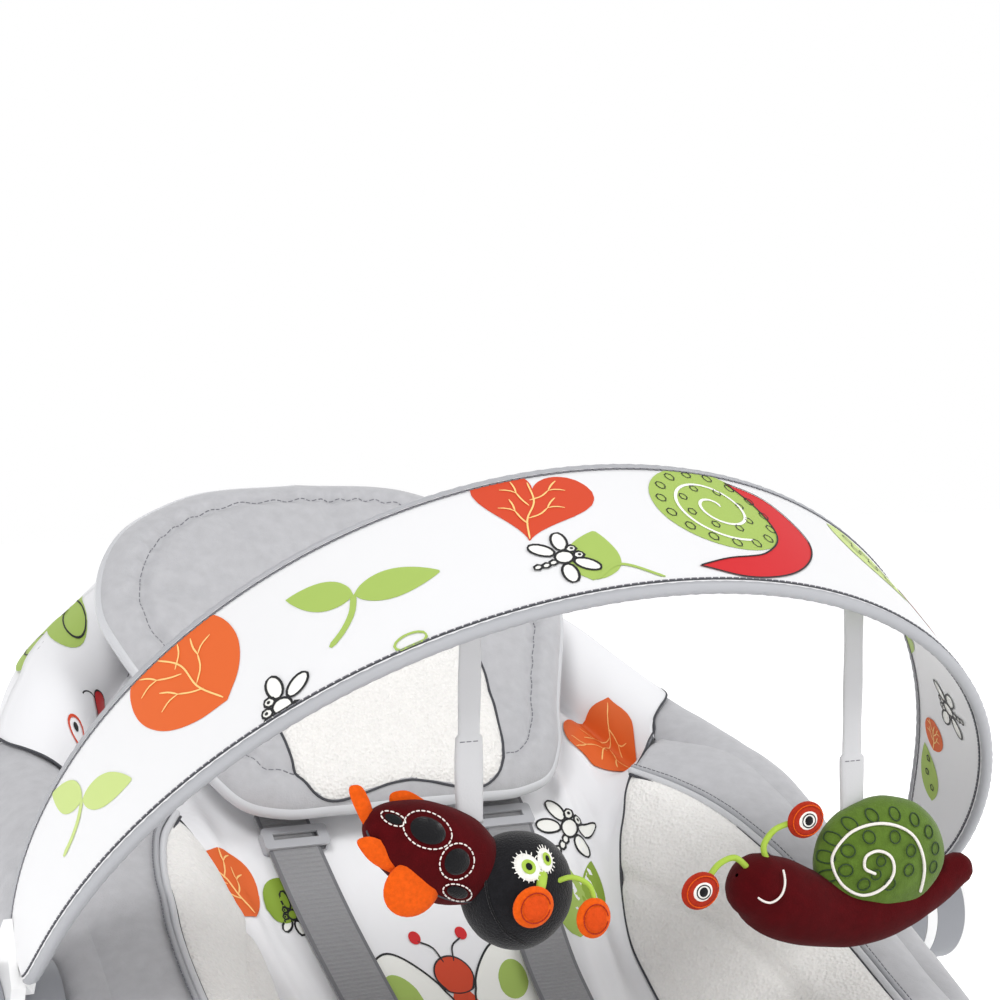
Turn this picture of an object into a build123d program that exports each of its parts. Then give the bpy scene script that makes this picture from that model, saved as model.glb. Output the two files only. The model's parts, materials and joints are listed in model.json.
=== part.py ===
from build123d import *
import os
from math import cos, hypot, radians, sin, sqrt

# Baby bouncer seat: a tube frame on two folding leg hoops, a padded seat with a reclining
# back, a five-point harness, and a fabric toy arch with two hanging soft toys.
# Millimetres. +X is the right side seen from the foot end, +Y runs to the head end, +Z is up.
# The origin is on the floor, under the centre of the whole object.

# ---- Driving dimensions ---------------------------------------------------------------
HALF_LENGTH = 346.0          # centre to the head end and to the foot end
HUB_Y, HUB_Z = 10.0, 238.0   # the common pivot axis, which runs along X
ROLL_R = 26.0                # padded roll round the seat frame
SEAT_TUBE_R = 8.0
LEG_TUBE_R = 8.0
FIT = 0.05                   # radial clearance of running fits and sockets
GAP = 0.3                    # free space between neighbouring pieces
FLOOR_TUBE_Z = 12.0          # leg tube centre above the floor

# Hub stack, distances from the centre plane outwards
BACK_HUB_IN, BACK_HUB_OUT = 201.0, 221.0
SEAT_HUB_IN, SEAT_HUB_OUT = 221.3, 229.8
FRONT_HUB_IN, FRONT_HUB_OUT = 230.1, 249.9
EAR_IN, EAR_OUT = 250.3, 256.9
REAR_HUB_IN, REAR_HUB_OUT = 257.2, 275.8
CAP_OUT = 279.0
HUB_R = 30.0                 # leg hubs, brackets and caps
SEAT_HUB_R = 18.0            # inner hubs, hidden in the padded roll
BOLT_R = 4.0
SEAT_TUBE_X = (BACK_HUB_IN + BACK_HUB_OUT) / 2
FRONT_LEG_X = (FRONT_HUB_IN + FRONT_HUB_OUT) / 2
REAR_LEG_X = (REAR_HUB_IN + REAR_HUB_OUT) / 2

# Toy arch: half an ellipse in a plane that leans towards the foot end
ARCH_LEAN = 33.2
ARCH_DROP = 45.0             # from the arch's ends down to the pivot axis
ARCH_HALF_SPAN = 250.0
ARCH_RISE = 233.0
BAND_END_HALF, BAND_MID_HALF = 9.2, 46.0
BAND_T = 4.4                 # padded cover, outside to outside
STRIP_T = 1.6                # springy strip inside the cover

# Soft goods
PANEL_HALF = 92.0            # central printed panel
PAD_T = 14.0
WEB_T = 1.8                  # harness webbing
WEB_LIFT = 3.4               # webbing above the back panel
WEB_W = 30.0
STRAP_TOP_X, STRAP_LOW_X = 66.0, 52.0
CUSHION_T = 34.0
CUSHION_SLOPE = 44.2         # the head cushion's lean from level

# Toys
LADYBIRD_X, SNAIL_X = -85.0, 121.0
TOY_STRAP_W, TOY_STRAP_T = 11.0, 2.0

LEAN_S, LEAN_C = sin(radians(ARCH_LEAN)), cos(radians(ARCH_LEAN))
ARCH_Y, ARCH_Z = HUB_Y - ARCH_DROP * LEAN_S, HUB_Z + ARCH_DROP * LEAN_C
END_Y = HALF_LENGTH - ROLL_R   # centre line of the frame at the head and foot bars


# ---- Helpers ----------------------------------------------------------------------------
def other_side(shape):
    """The same piece on the left."""
    return mirror(shape, about=Plane.YZ)


def u_path(right_half, radii):
    """A left-to-right bar from the right half's corner points, with rounded corners."""
    points = [Vector(*p) for p in right_half]
    left = [Vector(-p.X, p.Y, p.Z) for p in reversed(points)]
    return FilletPolyline(*left, *points, radius=list(reversed(radii)) + radii)


def rod_along(path, radius):
    return sweep(Plane(origin=path @ 0, z_dir=path % 0) * Circle(radius), path=path)


def hub_point(angle, reach, x=0.0):
    """A point in the hub's plane, at an angle from straight back, turning upwards."""
    return (x, HUB_Y + reach * cos(radians(angle)), HUB_Z + reach * sin(radians(angle)))


def disc(x0, x1, radius, y=HUB_Y, z=HUB_Z):
    """A disc on an axis along X, from x0 to x1."""
    return Plane(origin=(x0, y, z), z_dir=(1, 0, 0)) * extrude(Circle(radius), x1 - x0)


def hub_arm(x0, x1, angle, start, end, half_width):
    """A flat arm that leaves the hub at an angle."""
    plane = Plane(origin=(x0, HUB_Y, HUB_Z), x_dir=(0, cos(radians(angle)), sin(radians(angle))),
                  z_dir=(1, 0, 0))
    length = end - start
    profile = Pos((start + end) / 2, 0) * Rectangle(length, 2 * half_width)
    return plane * extrude(profile, x1 - x0)


def offset_line(points, distance):
    """A polyline moved sideways: positive is to the left of its direction."""
    moved = []
    for i, (a, b) in enumerate(points):
        before = points[max(i - 1, 0)]
        after = points[min(i + 1, len(points) - 1)]
        dy, dz = after[0] - before[0], after[1] - before[1]
        size = hypot(dy, dz)
        moved.append((a - dz / size * distance, b + dy / size * distance))
    return moved


def slab(line, thickness, half_width, x_middle=0.0):
    """A pad that follows a side-view line, which runs from the foot end to the head end.

    The line is the pad's top. Its thickness goes down, and its width is along X."""
    low = offset_line(line, -thickness)
    yz = Plane(origin=(x_middle - half_width, 0, 0), x_dir=(0, 1, 0), z_dir=(1, 0, 0))
    edges = [Spline(*line), Line(line[-1], low[-1]), Spline(*reversed(low)), Line(low[0], line[0])]
    return yz * extrude(make_face(Wire(edges)), 2 * half_width)


def plan_prism(points, z0=0.0, z1=600.0):
    """An upright prism over a plan outline."""
    return Pos(0, 0, z0) * extrude(make_face(Polyline(*points, close=True)), z1 - z0)


def ellipsoid(centre, a, b, c, tilt=0.0):
    """Semi-axes a, b, c along X, Y, Z, tilted in the XZ plane."""
    return Pos(*centre) * Rot(0, tilt, 0) * scale(Sphere(1.0), by=(a, b, c))


# ---- Side-view lines (y, z) of the seat, foot end to head end ------------------------------
SEAT_LINE = [(-290, 143), (-225, 150), (-145, 160), (-75, 163), (-30, 168), (-4, 177)]
BACK_LINE = [(27, 195), (58, 214), (100, 247), (138, 281)]
HEAD_LINE = [(141, 284), (225, 336), (291, 388)]

# ---- Side pads: y, then the inner foot's (x, z), then the top's outer edge (x, z) -----------
SEAT_WING = [(-262, (98, 152), (150, 165)), (-180, (98, 159), (170, 192)),
             (-100, (100, 167), (172, 222)), (-64, (103, 170), (172, 238)), (-8, (106, 180), (172, 265))]
BACK_WING = [(30, (107, 199), (168, 281)), (60, (108, 221), (161, 292)),
             (85, (115, 252), (154, 298)), (108, (127, 286), (146, 303))]

# ---- Frame paths, right half, from the hub outwards -----------------------------------------
SEAT_ARM_ANGLE, BACK_ARM_ANGLE = 208.0, 28.0
FRONT_ARM_ANGLE, REAR_ARM_ANGLE = 246.0, 294.0
SOCKET_START = 20.0          # where a tube's end sits, from the pivot axis
SEAT_SOCKET = 28.0           # the same for the foot-end hoop
ROLL_START = 74.0            # where the padding starts, from the pivot axis
BEND_START = 100.0           # the first bend of a seat tube, from the pivot axis
KNEE_START = 127.0           # the first bend of a leg tube, from the pivot axis


def seat_points(start):
    """Foot-end hoop, from the middle of its front bar back to the hub."""
    return [(205, -END_Y, 140), (214, -190, 155), hub_point(SEAT_ARM_ANGLE, BEND_START, SEAT_TUBE_X),
            hub_point(SEAT_ARM_ANGLE, start, SEAT_TUBE_X)]


def back_points(start):
    """Head-end hoop, from the middle of its top bar down to the hub."""
    return [(90, END_Y, 403), (158, 269, 356), (198, 196, 310),
            hub_point(BACK_ARM_ANGLE, BEND_START, SEAT_TUBE_X),
            hub_point(BACK_ARM_ANGLE, start, SEAT_TUBE_X)]


def hoop(points, radii, radius):
    """A tube hoop with its two free ends at the hubs."""
    return rod_along(u_path(points, radii), radius)


SEAT_RADII = [95, 200, 120]
BACK_RADII = [50, 60, 80, 120]
LEG_RADII = [60, 70, 130]


def front_leg_path(start):
    root = hub_point(FRONT_ARM_ANGLE, start, FRONT_LEG_X)
    knee = hub_point(FRONT_ARM_ANGLE, KNEE_START, FRONT_LEG_X)
    points = [(FRONT_LEG_X, -290, FLOOR_TUBE_Z), (FRONT_LEG_X, -200, FLOOR_TUBE_Z), knee, root]
    return u_path(points, LEG_RADII)


def rear_leg_path(start):
    root = hub_point(REAR_ARM_ANGLE, start, REAR_LEG_X)
    knee = hub_point(REAR_ARM_ANGLE, KNEE_START, REAR_LEG_X)
    points = [(REAR_LEG_X, 285, FLOOR_TUBE_Z), (REAR_LEG_X, 195, FLOOR_TUBE_Z), knee, root]
    return u_path(points, LEG_RADII)


def tube(path, radius, wall=1.2):
    return rod_along(path, radius) - rod_along(path, radius - wall)


# ---- Legs -----------------------------------------------------------------------------------
def leg_hub(x0, x1, angle, tube_x, pocket=None):
    """A plastic hub plate with the socket for one leg tube."""
    body = disc(x0, x1, HUB_R) + hub_arm(x0, x1, angle, 8, 62, 12)
    root, tip = hub_point(angle, SOCKET_START, tube_x), hub_point(angle, 66, tube_x)
    body -= rod_along(Line(root, tip), LEG_TUBE_R + FIT)
    body -= disc(x0 - 1, x1 + 1, BOLT_R + FIT)
    if pocket:
        body -= disc(pocket, x1 + 1, 15.0)
    return body


def foot(x, y):
    """A rubber sleeve on a floor bar, flat underneath."""
    length, outer = 52.0, LEG_TUBE_R + 3.2
    sleeve = disc(x - length / 2, x + length / 2, outer, y, FLOOR_TUBE_Z)
    sole = Pos(x, y, FLOOR_TUBE_Z / 2) * Box(length, 2 * outer, FLOOR_TUBE_Z)
    bore = disc(x - length, x + length, LEG_TUBE_R + FIT, y, FLOOR_TUBE_Z)
    return fillet((sleeve + sole).edges().filter_by(Axis.Z), 4) - bore


def front_legs():
    hub = leg_hub(FRONT_HUB_IN, FRONT_HUB_OUT, FRONT_ARM_ANGLE, FRONT_LEG_X)
    bolt = disc(197.6, 270.4, BOLT_R) + disc(193.6, 200.6, 7.0)
    nut = Plane(origin=(266.2, HUB_Y, HUB_Z), z_dir=(1, 0, 0)) * extrude(RegularPolygon(7.5, 6), 3.8)
    nut -= disc(260, 272, BOLT_R + FIT)
    return {
        "front_leg_tube": tube(front_leg_path(SOCKET_START + GAP), LEG_TUBE_R),
        "front_leg_hub_right": hub,
        "front_leg_hub_left": other_side(hub),
        "pivot_bolts": Compound([bolt, other_side(bolt)]),
        "pivot_nuts": Compound([nut, other_side(nut)]),
        "front_feet": Compound([foot(-120, -290), foot(120, -290)]),
    }


def rear_legs():
    hub = leg_hub(REAR_HUB_IN, REAR_HUB_OUT, REAR_ARM_ANGLE, REAR_LEG_X, pocket=266.0)
    cap = disc(REAR_HUB_OUT + 0.05, CAP_OUT, HUB_R)
    cap = fillet(cap.edges().sort_by(Axis.X)[-1], 2.2) - disc(270, 285, 12.3)
    button = disc(274.0, 275.6, 14.0) + disc(275.6, 280.6, 12.0)
    button = fillet(button.edges().sort_by(Axis.X)[-1], 1.5)
    return {
        "rear_leg_tube": tube(rear_leg_path(SOCKET_START + GAP), LEG_TUBE_R),
        "rear_leg_hub_right": hub,
        "rear_leg_hub_left": other_side(hub),
        "hub_cap_right": cap,
        "hub_cap_left": other_side(cap),
        "rear_feet": Compound([foot(-150, 285), foot(150, 285)]),
        "lock_button_right": button,
        "lock_button_left": other_side(button),
    }


# ---- Seat and back frames ---------------------------------------------------------------------
def seat_hub():
    """Outer plate over the back hub, with the foot-end tube's socket beside it."""
    plate = disc(SEAT_HUB_IN, SEAT_HUB_OUT, SEAT_HUB_R)
    plate += hub_arm(SEAT_HUB_IN, SEAT_HUB_OUT, SEAT_ARM_ANGLE, 10, 64, 10.5)
    plate += hub_arm(BACK_HUB_IN, SEAT_HUB_OUT, SEAT_ARM_ANGLE, SEAT_HUB_R + 4, 64, 10.5)
    root = hub_point(SEAT_ARM_ANGLE, SEAT_SOCKET, SEAT_TUBE_X)
    tip = hub_point(SEAT_ARM_ANGLE, 70, SEAT_TUBE_X)
    plate -= rod_along(Line(root, tip), SEAT_TUBE_R + FIT)
    return plate - disc(200, 232, BOLT_R + FIT)


def back_hub():
    plate = disc(BACK_HUB_IN, BACK_HUB_OUT, SEAT_HUB_R)
    plate += hub_arm(BACK_HUB_IN, BACK_HUB_OUT, BACK_ARM_ANGLE, 10, 62, 10.5)
    root = hub_point(BACK_ARM_ANGLE, SOCKET_START, SEAT_TUBE_X)
    tip = hub_point(BACK_ARM_ANGLE, 70, SEAT_TUBE_X)
    plate -= rod_along(Line(root, tip), SEAT_TUBE_R + FIT)
    return plate - disc(190, 232, BOLT_R + FIT)


def roll(points, radii):
    """Padding round a hoop, with the tube's channel through it."""
    path = u_path(points, radii)
    return rod_along(path, ROLL_R) - rod_along(path, SEAT_TUBE_R + GAP)


def seat_frame():
    hub = seat_hub()
    return {
        "seat_tube": tube(u_path(seat_points(SEAT_SOCKET + GAP), SEAT_RADII), SEAT_TUBE_R),
        "seat_hub_right": hub,
        "seat_hub_left": other_side(hub),
        "seat_roll": roll(seat_points(ROLL_START), SEAT_RADII),
    }


def back_frame():
    hub = back_hub()
    whole = roll(back_points(ROLL_START), BACK_RADII)
    seam_y = 198.0
    head_part = whole & plan_prism([(-400, seam_y + GAP), (400, seam_y + GAP), (400, 400), (-400, 400)])
    side = whole & plan_prism([(20, -50), (400, -50), (400, seam_y), (20, seam_y)])
    return {
        "back_tube": tube(u_path(back_points(SOCKET_START + GAP), BACK_RADII), SEAT_TUBE_R),
        "back_hub_right": hub,
        "back_hub_left": other_side(hub),
        "head_roll": head_part,
        "back_roll_right": side,
        "back_roll_left": other_side(side),
    }


# ---- Seat cover panels and head cushion ---------------------------------------------------------
def wing(stations):
    """A raised side pad of the seat cover, on the right, with a sloping inner side."""
    shoulder, drop, skin, under = 0.45, 14.0, 16.0, 10.0
    sections = []
    for y, (x_in, z_in), (x_out, z_out) in stations:
        width = x_out - x_in
        outline = [(x_in, z_in), (x_in + 0.15 * width, max(z_in + 1, z_out - drop)),
                   (x_in + shoulder * width, z_out), (x_out, z_out), (x_out, z_out - skin),
                   (x_in + 0.3 * width, z_in - under)]
        sections.append(make_face(Polyline(*[(x, y, z) for x, z in outline], close=True)))
    return loft(sections, ruled=True)


def cover_panels():
    head_plan = [(-150, 141), (150, 141), (122, 225), (74, 266), (60, 300), (-60, 300), (-74, 266),
                 (-122, 225)]
    back_wing = wing(BACK_WING)
    seat_wing = wing(SEAT_WING)
    head_panel = slab(HEAD_LINE, PAD_T, 150) & plan_prism(head_plan)
    return {
        "seat_panel": slab(SEAT_LINE, PAD_T, PANEL_HALF),
        "seat_wing_right": seat_wing,
        "seat_wing_left": other_side(seat_wing),
        "back_panel": slab(BACK_LINE, PAD_T, PANEL_HALF),
        "head_panel": head_panel,
        "back_wing_right": back_wing,
        "back_wing_left": other_side(back_wing),
    }


def cushion_plane():
    """Lies over the head panel: local x to the right, local y up the back."""
    angle = radians(CUSHION_SLOPE)
    return Plane(origin=(0, 137, 281), x_dir=(1, 0, 0), z_dir=(0, -sin(angle), cos(angle)))


def head_cushion():
    right = [(84, 7), (106, 31), (129, 92), (141, 122), (146, 144), (140, 172), (118, 204), (74, 230)]
    left = [(-x, y) for x, y in reversed(right)]
    outline = make_face(Polyline(*right, (0, 238), *left, close=True))
    half = CUSHION_T / 2
    upper = extrude(outline, half, taper=35)
    lower = extrude(outline, -half, taper=35)
    return cushion_plane() * Pos(0, 0, half + 4) * (upper + lower)


# ---- Harness --------------------------------------------------------------------------------------
def shoulder_strap():
    """Right strap: lies on the back panel from the slot below the cushion to the hips."""
    line = offset_line([(30, 197)] + BACK_LINE[1:] + [(146, 289)], WEB_LIFT + WEB_T)
    half = WEB_W / 2
    plan = [(STRAP_LOW_X - half, 20), (STRAP_LOW_X + half, 20),
            (STRAP_TOP_X + half, 160), (STRAP_TOP_X - half, 160)]
    return slab(line, WEB_T, 60, 60) & plan_prism(plan)


ADJUSTER_Y, ADJUSTER_Z = 134.2, 283.2   # on the webbing's middle
STRAP_SLOPE = 41.8


def strap_adjuster():
    """A ladder-lock slider that wraps the right shoulder strap."""
    plane = Plane(origin=(STRAP_TOP_X - 2.6, ADJUSTER_Y, ADJUSTER_Z), x_dir=(1, 0, 0),
                  z_dir=(0, -sin(radians(STRAP_SLOPE)), cos(radians(STRAP_SLOPE))))
    outer = fillet(Box(WEB_W + 8, 14, 6.8).edges().filter_by(Axis.Z), 2.5)
    window = Pos(0, 0.5, 3) * Box(WEB_W - 4, 4, 6)
    return plane * (outer - Box(WEB_W + 3, 30, 3.8) - window)


BUCKLE_Y, BUCKLE_Z = -66.0, 166.0


def buckle():
    plan = fillet(Rectangle(46, 50).vertices(), 12)
    at = Pos(0, BUCKLE_Y, BUCKLE_Z)
    back = at * extrude(plan, 7)
    button_hole = fillet(Rectangle(20.6, 16.6).vertices(), 3.3)
    front = at * Pos(0, 0, 7.2) * extrude(plan, 8)
    front = fillet(front.edges().sort_by(Axis.Z)[-8:], 2) - at * Pos(0, 4, 7) * extrude(button_hole, 20)
    front -= at * Pos(0, 4, 7.1) * extrude(Rectangle(24.6, 20.6), 3.2)
    face = fillet(Rectangle(20, 16).vertices(), 3)
    button = at * Pos(0, 4, 9.0) * (extrude(Rectangle(24, 20), 1.2) + extrude(face, 7.4))
    slot = at * Pos(0, 0, 3.4) * Box(60, 18, 2.8)
    low_slot = at * Pos(0, -22, 3.4) * Box(26, 14, 2.8)
    return {
        "buckle_back": back - slot - low_slot,
        "buckle_front": front,
        "buckle_button": button,
    }


def harness():
    strap = shoulder_strap()
    adjuster = strap_adjuster()
    tongue = Pos(22.5, BUCKLE_Y, BUCKLE_Z + 3.4) * Box(21, 16, 1.8)
    tongue += Pos(36, BUCKLE_Y, BUCKLE_Z + 3.4) * Box(8, 34, 3.4)
    waist_top = BUCKLE_Z + 4.3
    waist = plan_prism([(40.4, BUCKLE_Y - 12), (40.4, BUCKLE_Y + 14), (86, BUCKLE_Y + 26),
                        (86, BUCKLE_Y)], waist_top - WEB_T, waist_top)
    crotch_line = offset_line([(-146, 160), (-125, 161.4), (-96, 162.5)], 1.0 + WEB_T)
    crotch = slab(crotch_line, WEB_T, 11)
    return {
        "shoulder_strap_right": strap,
        "shoulder_strap_left": other_side(strap),
        "strap_adjuster_right": adjuster,
        "strap_adjuster_left": other_side(adjuster),
        "buckle_tongue_right": tongue,
        "buckle_tongue_left": other_side(tongue),
        "waist_strap_right": waist,
        "waist_strap_left": other_side(waist),
        "crotch_strap": crotch,
        **buckle(),
    }


# ---- Toy arch ---------------------------------------------------------------------------------------
def arch_plane():
    """Local x along X, local y up the arch, local z from back to front across the band."""
    return Plane(origin=(0, ARCH_Y, ARCH_Z), x_dir=(1, 0, 0), z_dir=(0, -LEAN_C, -LEAN_S))


def band_half_width(x):
    """Half the band's width at a distance x from the centre."""
    sine = sqrt(max(0.0, 1 - (x / ARCH_HALF_SPAN) ** 2))
    return BAND_END_HALF + (BAND_MID_HALF - BAND_END_HALF) * sine ** 0.36


def arch_shell(thickness, narrower=0.0):
    """The part of an elliptical shell that the band's outline leaves."""
    half = thickness / 2
    outer = Ellipse(ARCH_HALF_SPAN + half, ARCH_RISE + half)
    inner = Ellipse(ARCH_HALF_SPAN - half, ARCH_RISE - half)
    reach = ARCH_HALF_SPAN + 20
    upper = Pos(0, reach / 2) * Rectangle(2 * reach, reach)
    shell = extrude((outer - inner) & upper, 60, both=True)
    steps = [0.999, 0.985, 0.93, 0.82, 0.64, 0.42, 0.2]
    xs = [ARCH_HALF_SPAN * s for s in steps]
    right = [(x, band_half_width(x) - narrower) for x in xs]
    edge = [(ARCH_HALF_SPAN + 6, BAND_END_HALF - narrower)] + right
    top = edge + [(0, BAND_MID_HALF - narrower)] + [(-x, w) for x, w in reversed(edge)]
    low = [(x, -w) for x, w in reversed(top)]
    outline = make_face(Wire([Spline(*top), Line(top[-1], low[0]), Spline(*low), Line(low[-1], top[0])]))
    across = Plane(origin=(0, -5, 0), x_dir=(1, 0, 0), z_dir=(0, 1, 0))
    return shell & (across * extrude(outline, ARCH_RISE + 40))


def ear():
    """White end bracket on the right: pivot disc, arm and a flap over the band's end."""
    local = arch_plane()
    pivot_v = -ARCH_DROP
    side = Plane(origin=(EAR_IN, 0, 0), x_dir=(0, 0, 1), z_dir=(1, 0, 0))
    arm_points = [(27, pivot_v), (14, -8), (13, -3), (-14, 13), (-16, 6), (-19, -12), (-27, pivot_v)]
    # In this plane local x is across the band and local y is down, so v changes sign.
    arm = side * extrude(make_face(Polyline(*[(u, -v) for u, v in arm_points], close=True)),
                         EAR_OUT - EAR_IN)
    disc_plate = side * Pos(0, -pivot_v) * extrude(Circle(HUB_R), EAR_OUT - EAR_IN)
    socket = Pos(248.6, -6.5, 0) * Box(7.4, 11, 19)
    slot = Pos(250, -5.6, 0) * Box(STRIP_T + 0.2, 14, 15.2)
    relief = Pos(248, 20, 0) * Box(9.6, 41, 60)
    piece = arm + disc_plate + socket - slot - relief
    piece -= side * Pos(0, -pivot_v) * extrude(Circle(BOLT_R + FIT), 40, both=True)
    return local * piece


def arch():
    local = arch_plane()
    cavity = arch_shell(STRIP_T + 0.4, 3.0)
    cover = arch_shell(BAND_T) - cavity
    strip = arch_shell(STRIP_T, 3.6)
    tongue = Pos(ARCH_HALF_SPAN, -5.2, 0) * Box(STRIP_T, 10.4, 11)
    strip += tongue + Pos(-2 * ARCH_HALF_SPAN, 0, 0) * tongue
    end = ear()
    return {
        "arch_cover": local * cover,
        "arch_strip": local * strip,
        "arch_ear_right": end,
        "arch_ear_left": other_side(end),
    }


# ---- Toys --------------------------------------------------------------------------------------------
def band_point(x):
    """The band's centre line over a distance x, in the object's frame."""
    rise = ARCH_RISE * sqrt(1 - (x / ARCH_HALF_SPAN) ** 2)
    return ARCH_Y - rise * LEAN_S, ARCH_Z + rise * LEAN_C


def toy_strap(x, bottom, clearance):
    """A tape that hangs from the band over a distance x, down to a toy."""
    y, z = band_point(x)
    top = z - clearance
    return Pos(x, y, (top + bottom) / 2) * Box(TOY_STRAP_W, TOY_STRAP_T, top - bottom)


def ladybird():
    y, _ = band_point(LADYBIRD_X)
    body = ellipsoid((-108, y, 339), 28, 19, 19, 25)
    head = ellipsoid((-62, y - 2, 314), 24, 22, 23)
    body -= ellipsoid((-62, y - 2, 314), 24.4, 22.4, 23.4)
    petals = []
    spared = ellipsoid((-108, y, 339), 29, 20, 20, 25)
    for px, pz, tilt in [(-134, 360, -45), (-134, 335, 20), (-116, 315, 65)]:
        felt = Plane(origin=(px, y + 2, pz), x_dir=(1, 0, 0), z_dir=(0, -1, 0))
        petals.append(felt * Rot(0, 0, tilt) * extrude(Ellipse(15, 9), 4) - spared)
    feelers = []
    for fx, fz in [(-52, 306), (-27, 299)]:
        feelers.append(Plane(origin=(fx, y - 30, fz), z_dir=(0, -1, 0)) * extrude(Circle(9), 4))
    return {
        "ladybird_strap": toy_strap(LADYBIRD_X, 354.0, 7.5),
        "ladybird_body": body,
        "ladybird_head": head,
        "ladybird_petals": Compound(petals),
        "ladybird_feelers": Compound(feelers),
    }


def snail():
    y, _ = band_point(SNAIL_X)
    shell = ellipsoid((136, y, 306), 38, 17, 30)
    spared = ellipsoid((136, y, 306), 38.5, 17.5, 30.5)
    body = ellipsoid((122, y, 282), 70, 17, 20, 2) - spared
    body = max(body.solids(), key=lambda s: s.volume)
    eyes = []
    for ex, ez in [(94, 329), (37, 300)]:
        eyes.append(Plane(origin=(ex, y - 2, ez), z_dir=(0, -1, 0)) * extrude(Circle(10), 5))
    return {
        "snail_strap": toy_strap(SNAIL_X, 336.5, 9.5),
        "snail_shell": shell,
        "snail_body": body,
        "snail_eyes": Compound(eyes),
    }


# ---- Write one file for each piece ---------------------------------------------------------------------
def main():
    os.makedirs("parts", exist_ok=True)
    nodes = {}
    for group in (front_legs, rear_legs, seat_frame, back_frame, cover_panels, harness, arch,
                  ladybird, snail):
        nodes.update(group())
    nodes["head_cushion"] = head_cushion()
    for name, shape in nodes.items():
        export_step(shape, f"parts/{name}.step")


main()
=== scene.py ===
import json
import math

import bmesh
import bpy
import numpy as np
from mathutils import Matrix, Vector, noise


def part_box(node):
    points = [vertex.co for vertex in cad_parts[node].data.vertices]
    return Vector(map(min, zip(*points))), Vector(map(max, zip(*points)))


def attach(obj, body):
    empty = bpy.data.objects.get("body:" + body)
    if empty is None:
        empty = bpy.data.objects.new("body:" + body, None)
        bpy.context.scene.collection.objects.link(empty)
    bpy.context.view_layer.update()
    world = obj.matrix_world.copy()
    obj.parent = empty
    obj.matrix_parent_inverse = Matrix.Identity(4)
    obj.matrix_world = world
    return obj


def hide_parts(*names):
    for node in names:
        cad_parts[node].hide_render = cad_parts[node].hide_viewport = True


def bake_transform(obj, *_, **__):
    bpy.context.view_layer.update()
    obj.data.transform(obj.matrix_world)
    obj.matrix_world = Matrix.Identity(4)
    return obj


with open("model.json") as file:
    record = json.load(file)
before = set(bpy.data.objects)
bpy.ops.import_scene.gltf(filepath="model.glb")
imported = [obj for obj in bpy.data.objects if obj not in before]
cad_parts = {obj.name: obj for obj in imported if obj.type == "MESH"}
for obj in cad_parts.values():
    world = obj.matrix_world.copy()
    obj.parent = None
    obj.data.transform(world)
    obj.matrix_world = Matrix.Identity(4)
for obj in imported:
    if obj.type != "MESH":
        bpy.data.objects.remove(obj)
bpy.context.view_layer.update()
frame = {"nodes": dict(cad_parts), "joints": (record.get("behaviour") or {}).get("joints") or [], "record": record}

NODES = frame["nodes"]
HUB = np.array(next(j for j in frame["joints"] if j["name"] == "recline")["pos_m"]) * 1000
MM = 0.001

# Looks of the baby bouncer seat, in millimetres in the row frame: +X right, +Y head end, +Z up.

# ---- Materials ----


def srgb(r, g, b):
    return tuple(((c / 255 + 0.055) / 1.055) ** 2.4 if c > 10 else c / 3294 for c in (r, g, b)) + (1.0,)


ONE_RIB_PER_UNIT = 0.3142    # the wave texture's scale that gives one rib for each unit


def texture(tree, kind, size_mm, detail=2.0):
    """A procedural texture on the object's own coordinates, its features about size_mm wide."""
    coords = tree.nodes.new("ShaderNodeTexCoord")
    mapping = tree.nodes.new("ShaderNodeMapping")
    mapping.inputs["Scale"].default_value = [1000 / size_mm] * 3
    tree.links.new(coords.outputs["Object"], mapping.inputs["Vector"])
    if kind == "ribs":
        node = tree.nodes.new("ShaderNodeTexWave")
        node.bands_direction = "Y"
        node.inputs["Scale"].default_value = ONE_RIB_PER_UNIT
        tree.links.new(mapping.outputs["Vector"], node.inputs["Vector"])
        return node.outputs["Fac"]
    node = tree.nodes.new("ShaderNodeTexNoise" if kind == "noise" else "ShaderNodeTexVoronoi")
    node.inputs["Scale"].default_value = 1.0
    if kind == "noise":
        node.inputs["Detail"].default_value = detail
    tree.links.new(mapping.outputs["Vector"], node.inputs["Vector"])
    return node.outputs["Fac"] if kind == "noise" else node.outputs["Distance"]


def material(name, colour, rough=0.6, metal=0.0, sheen=0.0, coat=0.0, bumps=(), mottle=None):
    """bumps: (kind, size_mm, strength, depth_mm). mottle: (size_mm, share of the colour)."""
    m = bpy.data.materials.new(name)
    m.use_nodes = True
    tree = m.node_tree
    shader = tree.nodes["Principled BSDF"]
    shader.inputs["Base Color"].default_value = colour
    shader.inputs["Roughness"].default_value = rough
    shader.inputs["Specular IOR Level"].default_value = 0.12 if rough > 0.9 else 0.5
    shader.inputs["Metallic"].default_value = metal
    shader.inputs["Sheen Weight"].default_value = sheen
    shader.inputs["Sheen Roughness"].default_value = 0.45
    shader.inputs["Coat Weight"].default_value = coat
    shader.inputs["Coat Roughness"].default_value = 0.15
    if mottle:
        size, share = mottle
        fac = texture(tree, "noise", size, 4.0)
        mix = tree.nodes.new("ShaderNodeMix")
        mix.data_type = "RGBA"
        mix.inputs["A"].default_value = [c * (1 - share) for c in colour[:3]] + [1]
        mix.inputs["B"].default_value = [min(1, c * (1 + share)) for c in colour[:3]] + [1]
        tree.links.new(fac, mix.inputs["Factor"])
        tree.links.new(mix.outputs["Result"], shader.inputs["Base Color"])
    last = None
    for kind, size, strength, depth in bumps:
        bump = tree.nodes.new("ShaderNodeBump")
        bump.inputs["Strength"].default_value = strength
        bump.inputs["Distance"].default_value = depth * MM
        tree.links.new(texture(tree, kind, size), bump.inputs["Height"])
        if last:
            tree.links.new(last, bump.inputs["Normal"])
        last = bump.outputs["Normal"]
    if last:
        tree.links.new(last, shader.inputs["Normal"])
    return m


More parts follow.
